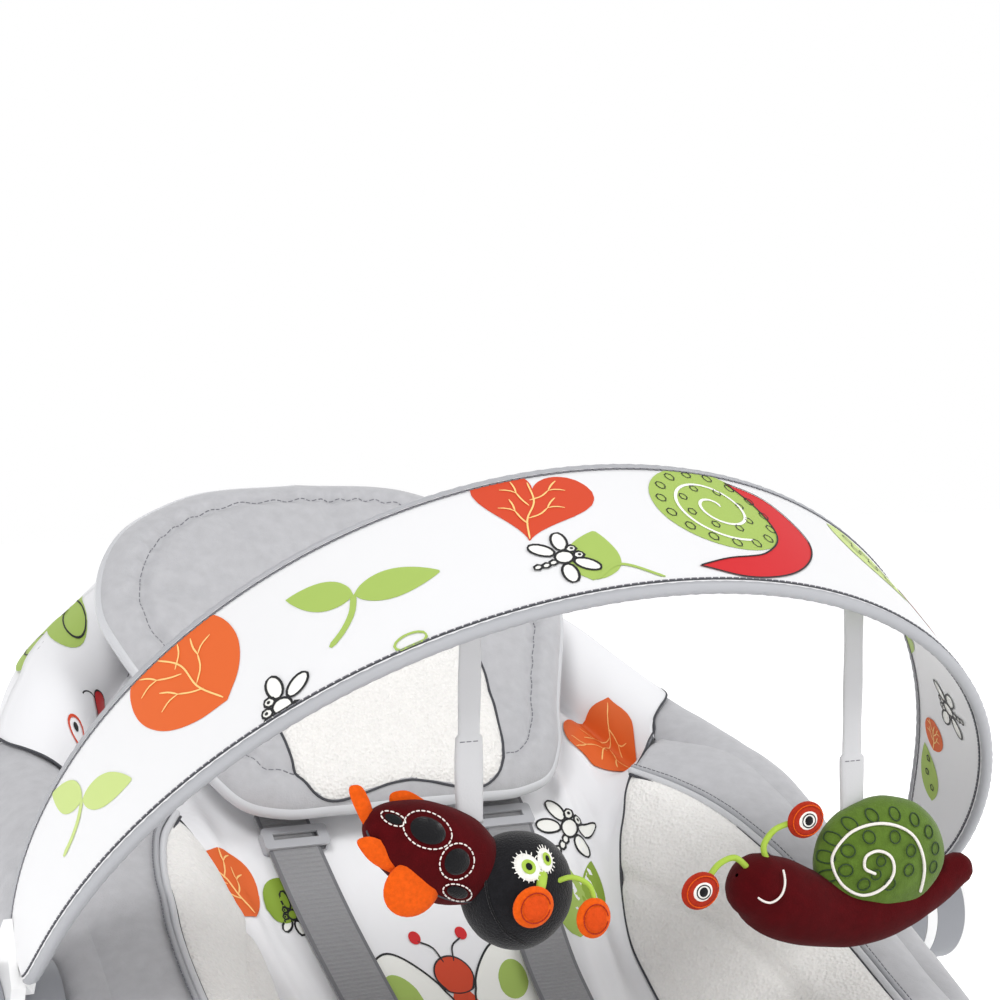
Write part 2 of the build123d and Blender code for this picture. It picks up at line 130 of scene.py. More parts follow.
FELT_BUMPS = [("noise", 0.8, 0.7, 0.5)]
VELOUR = material("velour_grey", srgb(184, 184, 187), 0.95, sheen=0.35, mottle=(7, 0.13),
                  bumps=[("noise", 0.9, 0.4, 0.5), ("noise", 12, 0.3, 1.4)])
TERRY = material("terry_white", srgb(241, 239, 236), 0.95, sheen=0.2, mottle=(1.5, 0.06),
                 bumps=[("voronoi", 1.9, 0.75, 1.1), ("noise", 4.5, 0.45, 1.2)])
PRINT = material("cotton_white", srgb(238, 238, 240), 0.62, sheen=0.15,
                 bumps=[("noise", 0.5, 0.12, 0.2), ("noise", 30, 0.2, 1.5)])
LINING = material("lining_grey", srgb(120, 121, 125), 0.9, bumps=[("noise", 0.8, 0.3, 0.3)])
SATIN = material("satin_grey", srgb(200, 201, 204), 0.42, sheen=0.2, bumps=[("noise", 0.7, 0.2, 0.25)])
# A darker copy of the grey satin: painted shade, on the arch band's binding and in the gap beside the wing piping
SATIN_SHADED = material("satin_painted_shade", srgb(168, 169, 173), 0.5, bumps=[("noise", 0.7, 0.2, 0.25)])
# A dark cord laid along seams: painted shade in the seam grooves, in the crease beside the piping and under the
# terry's inner edge
SEAM_SHADE = material("seam_shade_cord", srgb(70, 71, 76), 0.9)
THREAD = material("thread_grey", srgb(120, 120, 126), 0.7)
BAND = material("band_white", srgb(231, 231, 232), 0.5, sheen=0.1,
                bumps=[("noise", 0.5, 0.1, 0.15), ("noise", 40, 0.15, 1.5)])
WEBBING = material("webbing_grey", srgb(142, 142, 144), 0.7, sheen=0.15, mottle=(1.2, 0.1),
                   bumps=[("ribs", 2.2, 0.8, 0.5), ("noise", 0.6, 0.3, 0.25)])
WEB_EDGE = material("webbing_edge", srgb(112, 112, 116), 0.7, bumps=[("noise", 0.5, 0.3, 0.25)])
ORANGE = material("ink_orange", srgb(222, 98, 34), 0.6)
DEEP_ORANGE = material("ink_deep_orange", srgb(208, 66, 28), 0.6)
YELLOW = material("ink_yellow", srgb(250, 205, 130), 0.55)
GREEN = material("ink_green", srgb(164, 190, 92), 0.55)
PALE_GREEN = material("ink_pale_green", srgb(198, 216, 134), 0.55)
MOSS = material("ink_moss", srgb(138, 166, 50), 0.55)
INK_RED = material("ink_red", srgb(206, 22, 30), 0.55)
BLACK = material("ink_black", srgb(28, 28, 30), 0.55)
WHITE_INK = material("ink_white", srgb(246, 246, 240), 0.6)
TOY_RED = material("velvet_red", srgb(74, 4, 9), 0.95, sheen=0.03, mottle=(5, 0.3),
                   bumps=[("noise", 0.7, 0.5, 0.5), ("noise", 7, 0.25, 0.9)])
TOY_BLACK = material("plush_charcoal", srgb(26, 26, 29), 0.95, sheen=0.22, mottle=(2.5, 0.5),
                     bumps=[("noise", 0.9, 0.6, 0.7)])
TOY_GREEN = material("plush_green", srgb(86, 112, 40), 0.95, sheen=0.2, mottle=(4, 0.3),
                     bumps=[("noise", 0.8, 0.5, 0.6), ("noise", 6, 0.2, 0.8)])
FELT_ORANGE = material("felt_orange", srgb(222, 88, 16), 0.95, sheen=0.08, mottle=(2, 0.25),
                       bumps=FELT_BUMPS)
FELT_RED = material("felt_red", srgb(168, 46, 26), 0.95, sheen=0.1, mottle=(2, 0.2),
                    bumps=FELT_BUMPS)
DEEP_FELT = material("felt_deep_orange", srgb(208, 74, 24), 0.95, mottle=(2, 0.2), bumps=FELT_BUMPS)
FELT_BLACK = material("felt_black", srgb(24, 24, 26), 0.95, sheen=0.3, bumps=[("noise", 0.7, 0.7, 0.5)])
FELT_WHITE = material("felt_white", srgb(238, 236, 230), 0.95, sheen=0.3, bumps=[("noise", 0.7, 0.5, 0.4)])
CORD_GREEN = material("cord_green", srgb(160, 190, 60), 0.6, bumps=[("noise", 1.0, 0.4, 0.3)])
THREAD_WHITE = material("thread_white", srgb(232, 226, 220), 0.7)
THREAD_DARK = material("thread_dark_green", srgb(34, 60, 22), 0.7)
TAPE = material("tape_grey", srgb(196, 196, 198), 0.5, sheen=0.2, bumps=[("noise", 1.2, 0.3, 0.3)])

CAD_MATERIALS = {
    "frame_paint": material("paint_silver", srgb(176, 178, 182), 0.34, metal=0.55, coat=0.3,
                            bumps=[("noise", 0.6, 0.05, 0.1)]),
    "hub_grey": material("plastic_grey", srgb(142, 144, 149), 0.5, bumps=[("noise", 0.5, 0.15, 0.1)]),
    "hub_white": material("plastic_white", srgb(240, 240, 240), 0.28, coat=0.2),
    "button_grey": material("plastic_dark", srgb(98, 100, 106), 0.42, bumps=[("noise", 0.5, 0.15, 0.1)]),
    "bolt_steel": material("zinc_steel", srgb(178, 178, 182), 0.3, metal=1.0),
    "foot_rubber": material("rubber_black", srgb(46, 46, 49), 0.75, bumps=[("noise", 0.7, 0.2, 0.15)]),
    "strip_plastic": material("plastic_strip", srgb(216, 216, 216), 0.4),
    "clip_grey": material("acetal_grey", srgb(176, 177, 181), 0.36, bumps=[("noise", 0.6, 0.08, 0.1)]),
    "toy_strap": TAPE,
}
for row in frame["record"]["subparts"]:
    paint = CAD_MATERIALS.get(row["material_slot"])
    if paint:
        NODES[row["node"]].data.materials.clear()
        NODES[row["node"]].data.materials.append(paint)


# ---- Mesh building ----


def unit(v):
    v = np.asarray(v, float)
    return v / np.maximum(np.linalg.norm(v, axis=-1, keepdims=True), 1e-12)


def smoothstep(x):
    x = np.clip(x, 0, 1)
    return x * x * (3 - 2 * x)


def bell(x, centre, width):
    """A smooth bump of height 1 at centre."""
    return np.exp(-((x - centre) / width) ** 2)


def around(count):
    """Evenly spaced angles round a full turn."""
    return np.linspace(0, 2 * np.pi, count, endpoint=False)


def arc_lengths(points):
    """The distance along a polyline to each of its points."""
    return np.r_[0, np.cumsum(np.linalg.norm(np.diff(points, axis=0), axis=1))]


def looped(outline):
    """An outline with its first point again at its end."""
    return np.vstack([outline, outline[:1]])


def ruled(first, second, shares):
    """A grid of straight rows from each point of one edge to the same point of another."""
    return first[:, None] * (1 - shares)[None, :, None] + second[:, None] * shares[None, :, None]


def upward_normals(grid):
    normals = unit(np.cross(np.gradient(grid, axis=1), np.gradient(grid, axis=0)))
    return normals * np.sign(normals[..., 2:3] + 1e-9)


def hermite(xs, ys):
    """A smooth curve through points, as a function. ys may hold vectors."""
    xs, ys = np.array(xs, float), np.array(ys, float)
    if xs[0] > xs[-1]:
        xs, ys = xs[::-1], ys[::-1]
    slopes = np.gradient(ys, xs, axis=0)

    def value(x):
        x = np.clip(np.asarray(x, float), xs[0], xs[-1])
        i = np.clip(np.searchsorted(xs, x) - 1, 0, len(xs) - 2)
        h = xs[i + 1] - xs[i]
        t = (x - xs[i]) / h
        if ys.ndim > 1:
            t, h = t[..., None], h[..., None]
        a, b = (2 * t ** 3 - 3 * t * t + 1), (t ** 3 - 2 * t * t + t) * h
        c, d = (3 * t * t - 2 * t ** 3), (t ** 3 - t * t) * h
        return a * ys[i] + b * slopes[i] + c * ys[i + 1] + d * slopes[i + 1]

    return value


def resample(points, step=None, count=None):
    """A polyline with evenly spaced points."""
    points = np.asarray(points, float)
    lengths = arc_lengths(points)
    count = count or max(3, int(lengths[-1] / step) + 1)
    at = np.linspace(0, lengths[-1], count)
    return np.stack([np.interp(at, lengths, points[:, k]) for k in range(points.shape[1])], 1)


def smooth_line(points, step):
    """A smooth 3-D or 2-D curve through points, evenly spaced."""
    points = np.asarray(points, float)
    lengths = arc_lengths(points)
    dense = hermite(lengths, points)(np.linspace(0, lengths[-1], 40 * len(points)))
    return resample(dense, step)


def rounded(points, radii, step):
    """A polyline with circular corners, evenly spaced. radii are those of its inner points."""
    points = [np.array(p, float) for p in points]
    out = [points[0]]
    for i, r in enumerate(radii, 1):
        a, b = unit(points[i - 1] - points[i]), unit(points[i + 1] - points[i])
        half = math.acos(float(np.clip(a @ b, -1, 1))) / 2
        centre = points[i] + unit(a + b) * r / math.sin(half)
        start, end = points[i] + a * r / math.tan(half), points[i] + b * r / math.tan(half)
        for t in np.linspace(0, 1, 24):
            out.append(centre + unit((start - centre) * (1 - t) + (end - centre) * t) * r)
    out.append(points[-1])
    return resample(out, step)


def frames(path, up=(0, 0, 1), closed=False):
    """Tangent, side and top directions along a path, without twist."""
    if closed:
        tangent = unit(np.roll(path, -1, 0) - np.roll(path, 1, 0))
    else:
        tangent = unit(np.gradient(path, axis=0))
    top = np.empty_like(tangent)
    last = np.array(up, float)
    for i, t in enumerate(tangent):
        last = unit(last - (last @ t) * t)
        top[i] = last
    return tangent, np.cross(tangent, top), top


def hoops(side, top, count):
    """A unit circle of points about each point of a path."""
    a = around(count)[None, :, None]
    return np.cos(a) * side[:, None] + np.sin(a) * top[:, None]


class Build:
    """Collects the parts of one mesh."""

    def __init__(self):
        self.points, self.faces, self.slots, self.count = [], [], [], 0

    def add(self, points, faces, slot=0):
        points = np.asarray(points, float).reshape(-1, 3)
        self.faces += [[self.count + i for i in f] for f in faces]
        self.slots += [slot] * len(faces)
        self.points.append(points)
        self.count += len(points)

    def grid(self, p, slot=0, wrap=False, column_slot=None):
        n, m = p.shape[:2]
        faces, slots = [], []
        for i in range(n - 1):
            for j in range(m if wrap else m - 1):
                k = (j + 1) % m
                faces.append([i * m + j, (i + 1) * m + j, (i + 1) * m + k, i * m + k])
                slots.append(slot if column_slot is None else column_slot(i, j))
        start = len(self.slots)
        self.add(p, faces, slot)
        self.slots[start:] = slots

    def fan(self, ring, centre, slot=0):
        n = len(ring)
        self.add(np.vstack([ring, [centre]]), [[i, (i + 1) % n, n] for i in range(n)], slot)

    def tube(self, path, radius, slot=0, segments=10, closed=False, up=(0, 0, 1)):
        """A round rod along a path. radius is a number or one for each point."""
        path = np.asarray(path, float)
        _, side, top = frames(path, up, closed)
        radius = np.broadcast_to(np.asarray(radius, float), (len(path),))
        ring = hoops(side, top, segments)
        p = path[:, None] + radius[:, None, None] * ring
        if closed:
            p = np.concatenate([p, p[:1]])
        else:
            ends = []
            for end, before, sign in ((0, 1, -1), (-1, -2, 1)):
                out = unit(path[end] - path[before])
                rings = [path[end] + radius[end] * (out * math.sin(k) + ring[end] * math.cos(k))
                         for k in (0.5, 1.0, 1.5)]
                ends.append(rings[::sign])
            p = np.concatenate([np.array(ends[0]), p, np.array(ends[1])])
        self.grid(p, slot, wrap=True)

    def stitches(self, path, slot, length=2.4, gap=1.6, radius=0.32, up=(0, 0, 1)):
        """A row of thread stitches along a path."""
        step = 0.6
        line = resample(path, step)
        run, pause = max(2, round(length / step)), max(1, round(gap / step))
        for i in range(0, len(line) - run, run + pause):
            self.tube(line[i:i + run + 1], radius, slot, 5, up=up)

    def blob(self, centre, axes, slot, rows, cols, turn, shape):
        """An ellipsoid. turn tilts it in the XZ plane, shape changes the unit sphere's points."""
        u, v = np.meshgrid(np.linspace(0, np.pi, rows), np.linspace(0, 2 * np.pi, cols, endpoint=False),
                           indexing="ij")
        p = np.stack([np.cos(u), np.sin(u) * np.cos(v), np.sin(u) * np.sin(v)], -1)
        q = shape(p, p * np.array(axes, float))
        c, s = math.cos(math.radians(turn)), math.sin(math.radians(turn))
        q = np.stack([q[..., 0] * c - q[..., 2] * s, q[..., 1], q[..., 0] * s + q[..., 2] * c], -1)
        self.grid(q + np.array(centre, float), slot, wrap=True)

    def patch(self, outline, place, slot=0, step=5.0, lift=0.25, puff=0.0, rim=6.0):
        """A flat shape laid on a surface. place(a, b, lift) gives the surface's points."""
        outline = np.asarray(outline, float)
        bm = bmesh.new()
        ring = [bm.verts.new((x, y, 0)) for x, y in outline]
        bm.faces.new(ring)
        low, high = outline.min(0), outline.max(0)
        for axis in (0, 1):
            normal = [0, 0, 0]
            normal[axis] = 1
            for value in np.arange(low[axis] + step / 2, high[axis], step):
                co = [0, 0, 0]
                co[axis] = value
                bmesh.ops.bisect_plane(bm, geom=bm.verts[:] + bm.edges[:] + bm.faces[:],
                                       plane_co=co, plane_no=normal)
        bmesh.ops.triangulate(bm, faces=bm.faces[:])
        bm.verts.index_update()
        flat = np.array([v.co[:2] for v in bm.verts])
        faces = [[v.index for v in f.verts] for f in bm.faces]
        bm.free()
        heights = np.full(len(flat), lift)
        if puff:
            a, b = outline, np.roll(outline, -1, 0)
            edge = b - a
            t = ((flat[:, None] - a) * edge).sum(-1) / np.maximum((edge ** 2).sum(-1), 1e-9)
            near = a + np.clip(t, 0, 1)[..., None] * edge
            away = np.linalg.norm(flat[:, None] - near, axis=-1).min(1)
            heights = lift + puff * np.sqrt(np.clip(away / rim, 0, 1))
        self.add(place(flat[:, 0], flat[:, 1], heights), faces, slot)

    def stroke(self, line, width, place, slot=0, lift=0.4, step=2.0):
        """A painted or stitched line on a surface."""
        line = resample(line, step)
        if len(line) < 3:
            return
        t = unit(np.gradient(line, axis=0))
        n = np.stack([-t[:, 1], t[:, 0]], 1)
        half = np.full(len(line), width / 2)
        half[[0, -1]] *= 0.5
        rows = []
        for k in (-1, 0, 1):
            q = line + k * n * half[:, None]
            rows.append(place(q[:, 0], q[:, 1], lift))
        self.grid(np.stack(rows, 1), slot)

    def object(self, name, materials):
        mesh = bpy.data.meshes.new(name)
        mesh.from_pydata((np.concatenate(self.points) * MM).tolist(), [], self.faces)
        for m in materials:
            mesh.materials.append(m)
        mesh.polygons.foreach_set("material_index", self.slots)
        mesh.polygons.foreach_set("use_smooth", [True] * len(self.faces))
        mesh.update()
        obj = bpy.data.objects.new(name, mesh)
        bpy.context.scene.collection.objects.link(obj)
        bm = bmesh.new()
        bm.from_mesh(mesh)
        bmesh.ops.remove_doubles(bm, verts=bm.verts[:], dist=1e-6)
        bmesh.ops.recalc_face_normals(bm, faces=bm.faces[:])
        bm.to_mesh(mesh)
        bm.free()
        return obj


def wobble(p, size, seed=0.0):
    """Smooth noise from -1 to 1 at each point, its bumps about size wide."""
    flat = np.asarray(p, float).reshape(-1, 3) / size
    return np.array([noise.noise(Vector((a, b, c + seed))) for a, b, c in flat]).reshape(p.shape[:-1])


def mirrored(points):
    return np.asarray(points, float) * np.array([-1, 1, 1])


# ---- Print shapes, drawn flat: a to the right, b up, in millimetres ----


def moved(points, at, turn=0.0, size=1.0):
    c, s = math.cos(math.radians(turn)), math.sin(math.radians(turn))
    p = np.asarray(points, float) * size
    return np.stack([at[0] + p[:, 0] * c - p[:, 1] * s, at[1] + p[:, 0] * s + p[:, 1] * c], 1)


def oval(a, b, count=28):
    t = around(count)
    return np.stack([a * np.cos(t), b * np.sin(t)], 1)


def teardrop(length, width):
    """A leaf with its tip at the origin, along +a."""
    t = np.linspace(0, 1, 15)
    w = width / 2 * np.sin(np.pi * t ** 0.8) ** 0.85
    top = np.stack([t * length, w], 1)
    return np.vstack([top, (top * [1, -1])[-2:0:-1]])


def heart(size):
    """A heart-shaped leaf, its tip at the origin, along +a."""
    t = around(40)
    x = 16 * np.sin(t) ** 3
    y = 13 * np.cos(t) - 5 * np.cos(2 * t) - 2 * np.cos(3 * t) - np.cos(4 * t)
    return np.stack([(y + 17) / 29, x / 29], 1) * size


def broad_leaf():
    """A broad leaf of length 1, its tip at the origin, along +a."""
    half = smooth_line([(0, 0), (0.1, 0.2), (0.3, 0.37), (0.58, 0.42), (0.84, 0.31), (1, 0)], 0.05)
    return np.vstack([half, (half * [1, -1])[-2:0:-1]])


def closed(points):
    """A smooth closed outline through the given points."""
    points = np.asarray(points, float)
    wrapped = np.vstack([points[-3:], points, points[:3]])
    lengths = arc_lengths(wrapped)
    start, end = lengths[3], lengths[3 + len(points)]
    return hermite(lengths, wrapped)(np.linspace(start, end, int((end - start) / 1.5) + 2))[:-1]


class Print:
    """Draws the fabric's motifs on one surface of a mesh."""

    def __init__(self, build, place, inks):
        self.build, self.place, self.inks = build, place, inks

    def shape(self, outline, ink, lift=0.25):
        self.build.patch(outline, self.place, self.inks[ink], 4.0, lift)

    def line(self, points, width, ink, lift=0.45):
        self.build.stroke(points, width, self.place, self.inks[ink], lift)

    def ring(self, outline, width, ink, lift=0.5):
        self.line(np.vstack([outline, outline[:2]]), width, ink, lift)

    def sprout(self, at, turn, size, ink="green"):
        self.shape(moved(teardrop(1, 0.46), at, turn + 18, size), ink)
        self.shape(moved(teardrop(0.82, 0.44), at, turn + 176, size), ink, 0.27)
        stem = smooth_line([(0, 0), (0.02, -0.25), (-0.04, -0.5), (-0.16, -0.72)], 0.05)
        self.line(moved(stem, at, turn, size), 0.075 * size, ink, 0.3)

    def leaf(self, at, turn, size, ink="orange", lobed=False, lift=0.25):
        self.shape(moved(heart(1) if lobed else broad_leaf(), at, turn, size), ink, lift)
        twigs = [[(0.04, 0), (0.3, 0.03), (0.56, -0.02), (0.84, 0.05)]]
        for sign, start in ((1, 0.24), (-1, 0.32), (1, 0.5), (-1, 0.58)):
            fork = (start + 0.17, sign * 0.14)
            twigs += [[(start, 0.02), (start + 0.07, sign * 0.08), fork],
                      [fork, (start + 0.2, sign * 0.2), (start + 0.2, sign * 0.29)],
                      [fork, (start + 0.25, sign * 0.16), (start + 0.33, sign * 0.2)]]
        for twig in twigs:
            self.line(moved(smooth_line(twig, 0.03), at, turn, size), 0.8, "yellow", lift + 0.3)

    def bug(self, at, turn, size):
        """A plain outline bug: four round wings, a small body and a beaded tail."""
        parts = [moved(oval(0.17, 0.095, 20), (0.29 * math.cos(a), 0.29 * math.sin(a)), math.degrees(a))
                 for a in (1.05, 2.05, 4.23, 5.23)]
        parts += [oval(r, r * 0.9, 18) + [a, b]
                  for a, b, r in ((0, 0, 0.12), (0.17, 0.07, 0.07), (0.17, -0.07, 0.07))]
        parts += [oval(0.06, 0.045, 14) + [-0.17 - 0.1 * k, 0.012 * k * k] for k in range(3)]
        for k, part in enumerate(parts):
            part = moved(part, at, turn, size)
            self.shape(part, "white", 0.3 + 0.02 * k)
            self.ring(part, 1.15, "black", 0.5 + 0.02 * k)
        for side in (1, -1):
            self.shape(moved(oval(0.022, 0.022, 10) + [0.18, side * 0.07], at, turn, size), "black", 0.6)

    def swirl(self, at, size, turn=0.0):
        """A green disc with a pale spiral and rings."""
        self.shape(moved(oval(0.5, 0.47, 40), at, turn, size), "green")
        t = np.linspace(0.4, 3.6 * np.pi, 90)
        r = 0.03 + 0.335 * (t / t[-1]) ** 0.9
        self.line(moved(np.stack([r * np.cos(t), r * np.sin(t)], 1), at, turn, size), 1.5, "white", 0.5)
        outer = (15, 0.42, 0.4, (0.035, 0.045), 0)
        inner = (8, 0.25, 0.23, (0.03, 0.038), 0.3)
        for count, wide, high, dot, start in (outer, inner):
            for k in range(count):
                a = start + k * 2 * math.pi / count
                dot_at = [wide * math.cos(a), high * math.sin(a)]
                self.ring(moved(oval(*dot, 12) + dot_at, at, turn, size), 0.6, "black", 0.5)

    def pod(self, at, turn, size, ink="green", dots=4):
        """A leaf with outlined ovals inside."""
        self.shape(moved(teardrop(1, 0.5), at, turn, size), ink)
        for k in range(dots):
            c = [0.24 + 0.5 * k / max(dots - 1, 1), 0.05 * (-1) ** k]
            self.ring(moved(oval(0.06, 0.045, 14) + c, at, turn, size), 0.8, "black")


INK_NAMES = ["orange", "deep", "yellow", "green", "pale", "moss", "red", "black", "white"]
INKS = [ORANGE, DEEP_ORANGE, YELLOW, GREEN, PALE_GREEN, MOSS, INK_RED, BLACK, WHITE_INK]


def ink_slots(first):
    """The material slot of each ink on a piece whose own materials come before them."""
    return {name: first + i for i, name in enumerate(INK_NAMES)}


# ---- Seat cover ----

PANEL_Z = hermite([-320, -290, -225, -145, -75, -30, -4, 27, 58, 100, 138, 180, 225, 291, 340],
                  [141, 143, 150, 160, 163, 168, 177, 195, 214, 247, 281, 308, 336, 388, 428])
# Where the terry meets the print, from the corner beside the head down to the foot end
INNER_SEAM = [(138, 113, 307), (131, 107, 297), (126, 100, 287), (121, 95, 275), (118, 90, 264),
              (115, 84, 252), (112.5, 77, 241), (110, 69, 231), (108, 60, 222), (107, 40, 207),
              (106, 10, 189), (104, -30, 174),
              (101, -100, 167.5), (99, -180, 159.5), (99, -235, 154)]
# Where the terry's piping meets the velour
PIPING = [(138, 113, 307), (151, 91, 301.5), (160, 66, 295), (165, 46, 288.5), (168, 27, 281.5),
          (171, 10, 274), (172.5, -6, 266.5), (173, -32, 253.5), (172.5, -64, 239),
          (172, -100, 222), (171, -145, 206),
          (167, -190, 191), (159, -230, 175)]
SEAM_X = hermite([p[1] for p in INNER_SEAM], [p[0] for p in INNER_SEAM])
SEAM_Z = hermite([p[1] for p in INNER_SEAM], [p[2] for p in INNER_SEAM])
ROLL_R = 28.5
BACK_DIRECTION = np.array([0, math.cos(math.radians(28)), math.sin(math.radians(28))])
NECK, HIP = HUB + 100 * BACK_DIRECTION, HUB - 100 * BACK_DIRECTION
NECK[0], HIP[0] = 211, 211
ROLL_RIGHT = rounded([(0, 320, 403), (90, 320, 403), (158, 269, 356), (198, 196, 310), NECK, HIP,
                      (214, -190, 155), (205, -320, 140), (0, -320, 140)],
                     [50, 60, 80, 120, 120, 200, 95], 4.0)
SIDE = ROLL_RIGHT[(ROLL_RIGHT[:, 1] < 306) & (ROLL_RIGHT[:, 1] > -312)]
SIDE_X = hermite(SIDE[::-6, 1], SIDE[::-6, 0])
SIDE_Z = hermite(SIDE[::-6, 1], SIDE[::-6, 2])


def across_top(tangent):
    """The direction square to each tangent that points most upward."""
    up = np.array([0, 0, 1.0])
    return unit(up - (tangent @ up)[..., None] * tangent)


def on_roll(y, angle, lift=0.0):
    """A point of the right roll's surface: angle 0 is its inner side, 90 its top. y is its axis's."""
    y = np.asarray(y, float)
    ahead = np.stack([SIDE_X(y + 3) - SIDE_X(y - 3), np.full_like(y, 6.0), SIDE_Z(y + 3) - SIDE_Z(y - 3)], -1)
    tangent = unit(ahead)
    top = across_top(tangent)
    inward = np.cross(top, tangent)
    inward *= -np.sign(inward[..., :1])
    a = np.radians(angle)
    r = ROLL_R + lift
    axis = np.stack([SIDE_X(y), y, SIDE_Z(y)], -1)
    return axis + (r * np.cos(a))[..., None] * inward + (r * np.sin(a))[..., None] * top


def blend_cover(obj):
    """Bakes the seat cover piece's placement into its mesh; nothing bends it at the hubs."""
    start, end = (HUB - 45 * BACK_DIRECTION) * MM, (HUB + 45 * BACK_DIRECTION) * MM
    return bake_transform(obj, "seat", "backrest", start=tuple(start), end=tuple(end))


HUB_FLAT = 229.3             # the roll's outer side beside the leg hubs


def roll_mesh(path):
    """The stuffed roll round the frame, flat beside the hubs and a little uneven."""
    _, side, top = frames(path)
    ring = hoops(side, top, 48)
    p = path[:, None] + ROLL_R * ring
    swell = 0.9 * wobble(p, 45.0, 3.0) - 1.5 * np.clip(wobble(p * [1, 0.4, 0.4], 15.0, 9.0) - 0.12, 0, 1)
    p = p + ring * (swell[..., None] - 0.2)
    away = np.hypot(p[..., 1] - HUB[1], p[..., 2] - HUB[2])
    limit = HUB_FLAT + 14 * smoothstep((away - 52) / 34)
    p[..., 0] = np.sign(p[..., 0]) * np.minimum(np.abs(p[..., 0]), limit)
    first = [path[0] + (p[0] - path[0]) * k for k in (0.02, 0.5, 0.85)]
    last = [path[-1] + (p[-1] - path[-1]) * k for k in (0.85, 0.5, 0.02)]
    return np.concatenate([first, p, last])


# The velour's flange, from the piping to the roll's top: (y, angle) on the roll
FLANGE_COUNT = 120
FLANGE_ROLL = [(160, 39), (118, 74), (80, 84), (50, 87), (28, 88), (10, 88), (-8, 88), (-34, 88), (-66, 88),
               (-102, 86), (-147, 80), (-192, 72), (-232, 60)]
flange_in = resample(smooth_line(PIPING, 3.0), count=FLANGE_COUNT)
flange_out = smooth_line([on_roll(y, angle, -0.6) for y, angle in FLANGE_ROLL], 3.0)
flange_out = resample(flange_out, count=FLANGE_COUNT)
s = np.linspace(0, 1, 16)
flange = ruled(flange_in, flange_out, s)
bow = 5.0 * np.sin(np.pi * s) ** 0.8
flange_n = upward_normals(flange)
crease = 1.8 * np.clip(wobble(flange * [0.6, 1, 1], 16.0, 2.0), 0, 1) * np.sin(np.pi * s)
flange = flange + flange_n * (bow * np.linspace(0.7, 1, FLANGE_COUNT)[:, None] - crease)[..., None]

# The velour gusset that closes the cover between the panel and the roll at the foot end
GUSSET_COUNT = 40
gusset_y = np.linspace(-140, -296, GUSSET_COUNT)
gusset_in = np.stack([np.full(GUSSET_COUNT, 95.0), gusset_y, PANEL_Z(gusset_y) - 3.5], 1)
gusset_out = on_roll(gusset_y, np.full(GUSSET_COUNT, 12.0), -1.0)
s = np.linspace(0, 1, 12)
gusset = ruled(gusset_in, gusset_out, s)
gusset[..., 2] -= (5 * np.sin(np.pi * s))[None]

HEAD_SEAM_Y = 205.0
cut = int(np.argmax(ROLL_RIGHT[:, 1] < HEAD_SEAM_Y))
head_half, side_half = ROLL_RIGHT[:cut + 1], ROLL_RIGHT[cut:]

# Side roll, with its flanges and gussets
roll = Build()
side_path = np.vstack([side_half, mirrored(side_half)[::-1][1:]])
roll.grid(roll_mesh(side_path), 0, wrap=True)
for sign in (1, -1):
    # A dark cord round the roll at the head seam: painted shade in the seam's groove
    seam = on_roll(np.full(60, HEAD_SEAM_Y), np.linspace(112, 300, 60), 0.2) * [sign, 1, 1]
    roll.tube(seam, 0.7, 1, 6)
    roll.grid(flange * [sign, 1, 1], 0)
    roll.grid((flange - [0, 0, 2.5]) * [sign, 1, 1], 0)
    roll.grid(np.stack([flange[0], flange[0] - [0, 0, 6.0]]) * [sign, 1, 1], 0)
    roll.grid(gusset * [sign, 1, 1], 0)
    roll.grid((gusset - [0, 0, 2.0]) * [sign, 1, 1], 0)
roll = roll.object("side_roll", [VELOUR, SEAM_SHADE])
blend_cover(roll)
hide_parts("seat_roll", "back_roll_left", "back_roll_right")

# Head roll
head = Build()
head_path = np.vstack([head_half[::-1], mirrored(head_half)[1:]])
head.grid(roll_mesh(head_path), 0, wrap=True)


def on_head(a, b, lift):
    """The head roll's surface: a runs along it from the middle, b round it from its top to the front."""
    a, b = np.asarray(a, float), np.asarray(b, float)
    lengths = arc_lengths(head_half)

    def along(distance):
        return np.stack([np.interp(distance, lengths, head_half[:, k]) for k in range(3)], -1)

    at = np.abs(a)
    tangent = unit(along(at + 2) - along(at - 2))
    top = across_top(tangent)
    side = np.cross(tangent, top)
    angle = b / ROLL_R
    out = np.cos(angle)[..., None] * top + np.sin(angle)[..., None] * side
    p = along(at) + out * (ROLL_R + 0.9 + np.asarray(lift))[..., None]
    p[..., 0] *= np.sign(a)
    return p


motifs = Print(head, on_head, ink_slots(1))
motifs.shape(moved(oval(26, 12), (-176, -12), 8), "green")
motifs.ring(moved(oval(9, 7), (-180, -12)), 1.0, "black")
motifs.shape(moved(oval(12, 11), (-228, 20)), "red")
motifs.ring(moved(oval(6, 6), (-216, 30)), 1.0, "black")
motifs.shape(moved(oval(16, 9), (208, -14), -20), "pale", 0.3)
motifs.ring(moved(oval(5, 4), (206, -12)), 0.9, "black", 0.5)
motifs.sprout((20, -4), 0, 40)
motifs.leaf((96, -30), 30, 38)
motifs.leaf((-58, -38), 200, 36)
head = head.object("head_roll_cover", [PRINT] + INKS)
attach(head, "backrest")
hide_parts("head_roll")

# Printed panel, from the head bar to the foot bar. Beside the head its edge crosses the roll.
HEAD_EDGE = hermite([113, 126, 143, 160],
                    [(138, 113, 306.2), (150, 126, 309.5), (165, 143, 314), (180, 160, 320)])
EDGE_ANGLE = hermite([158, 166, 181, 206, 215, 300], [30, 39, 70, 118, 122, 100])


COLS = 56                    # points from the panel's middle to its edge


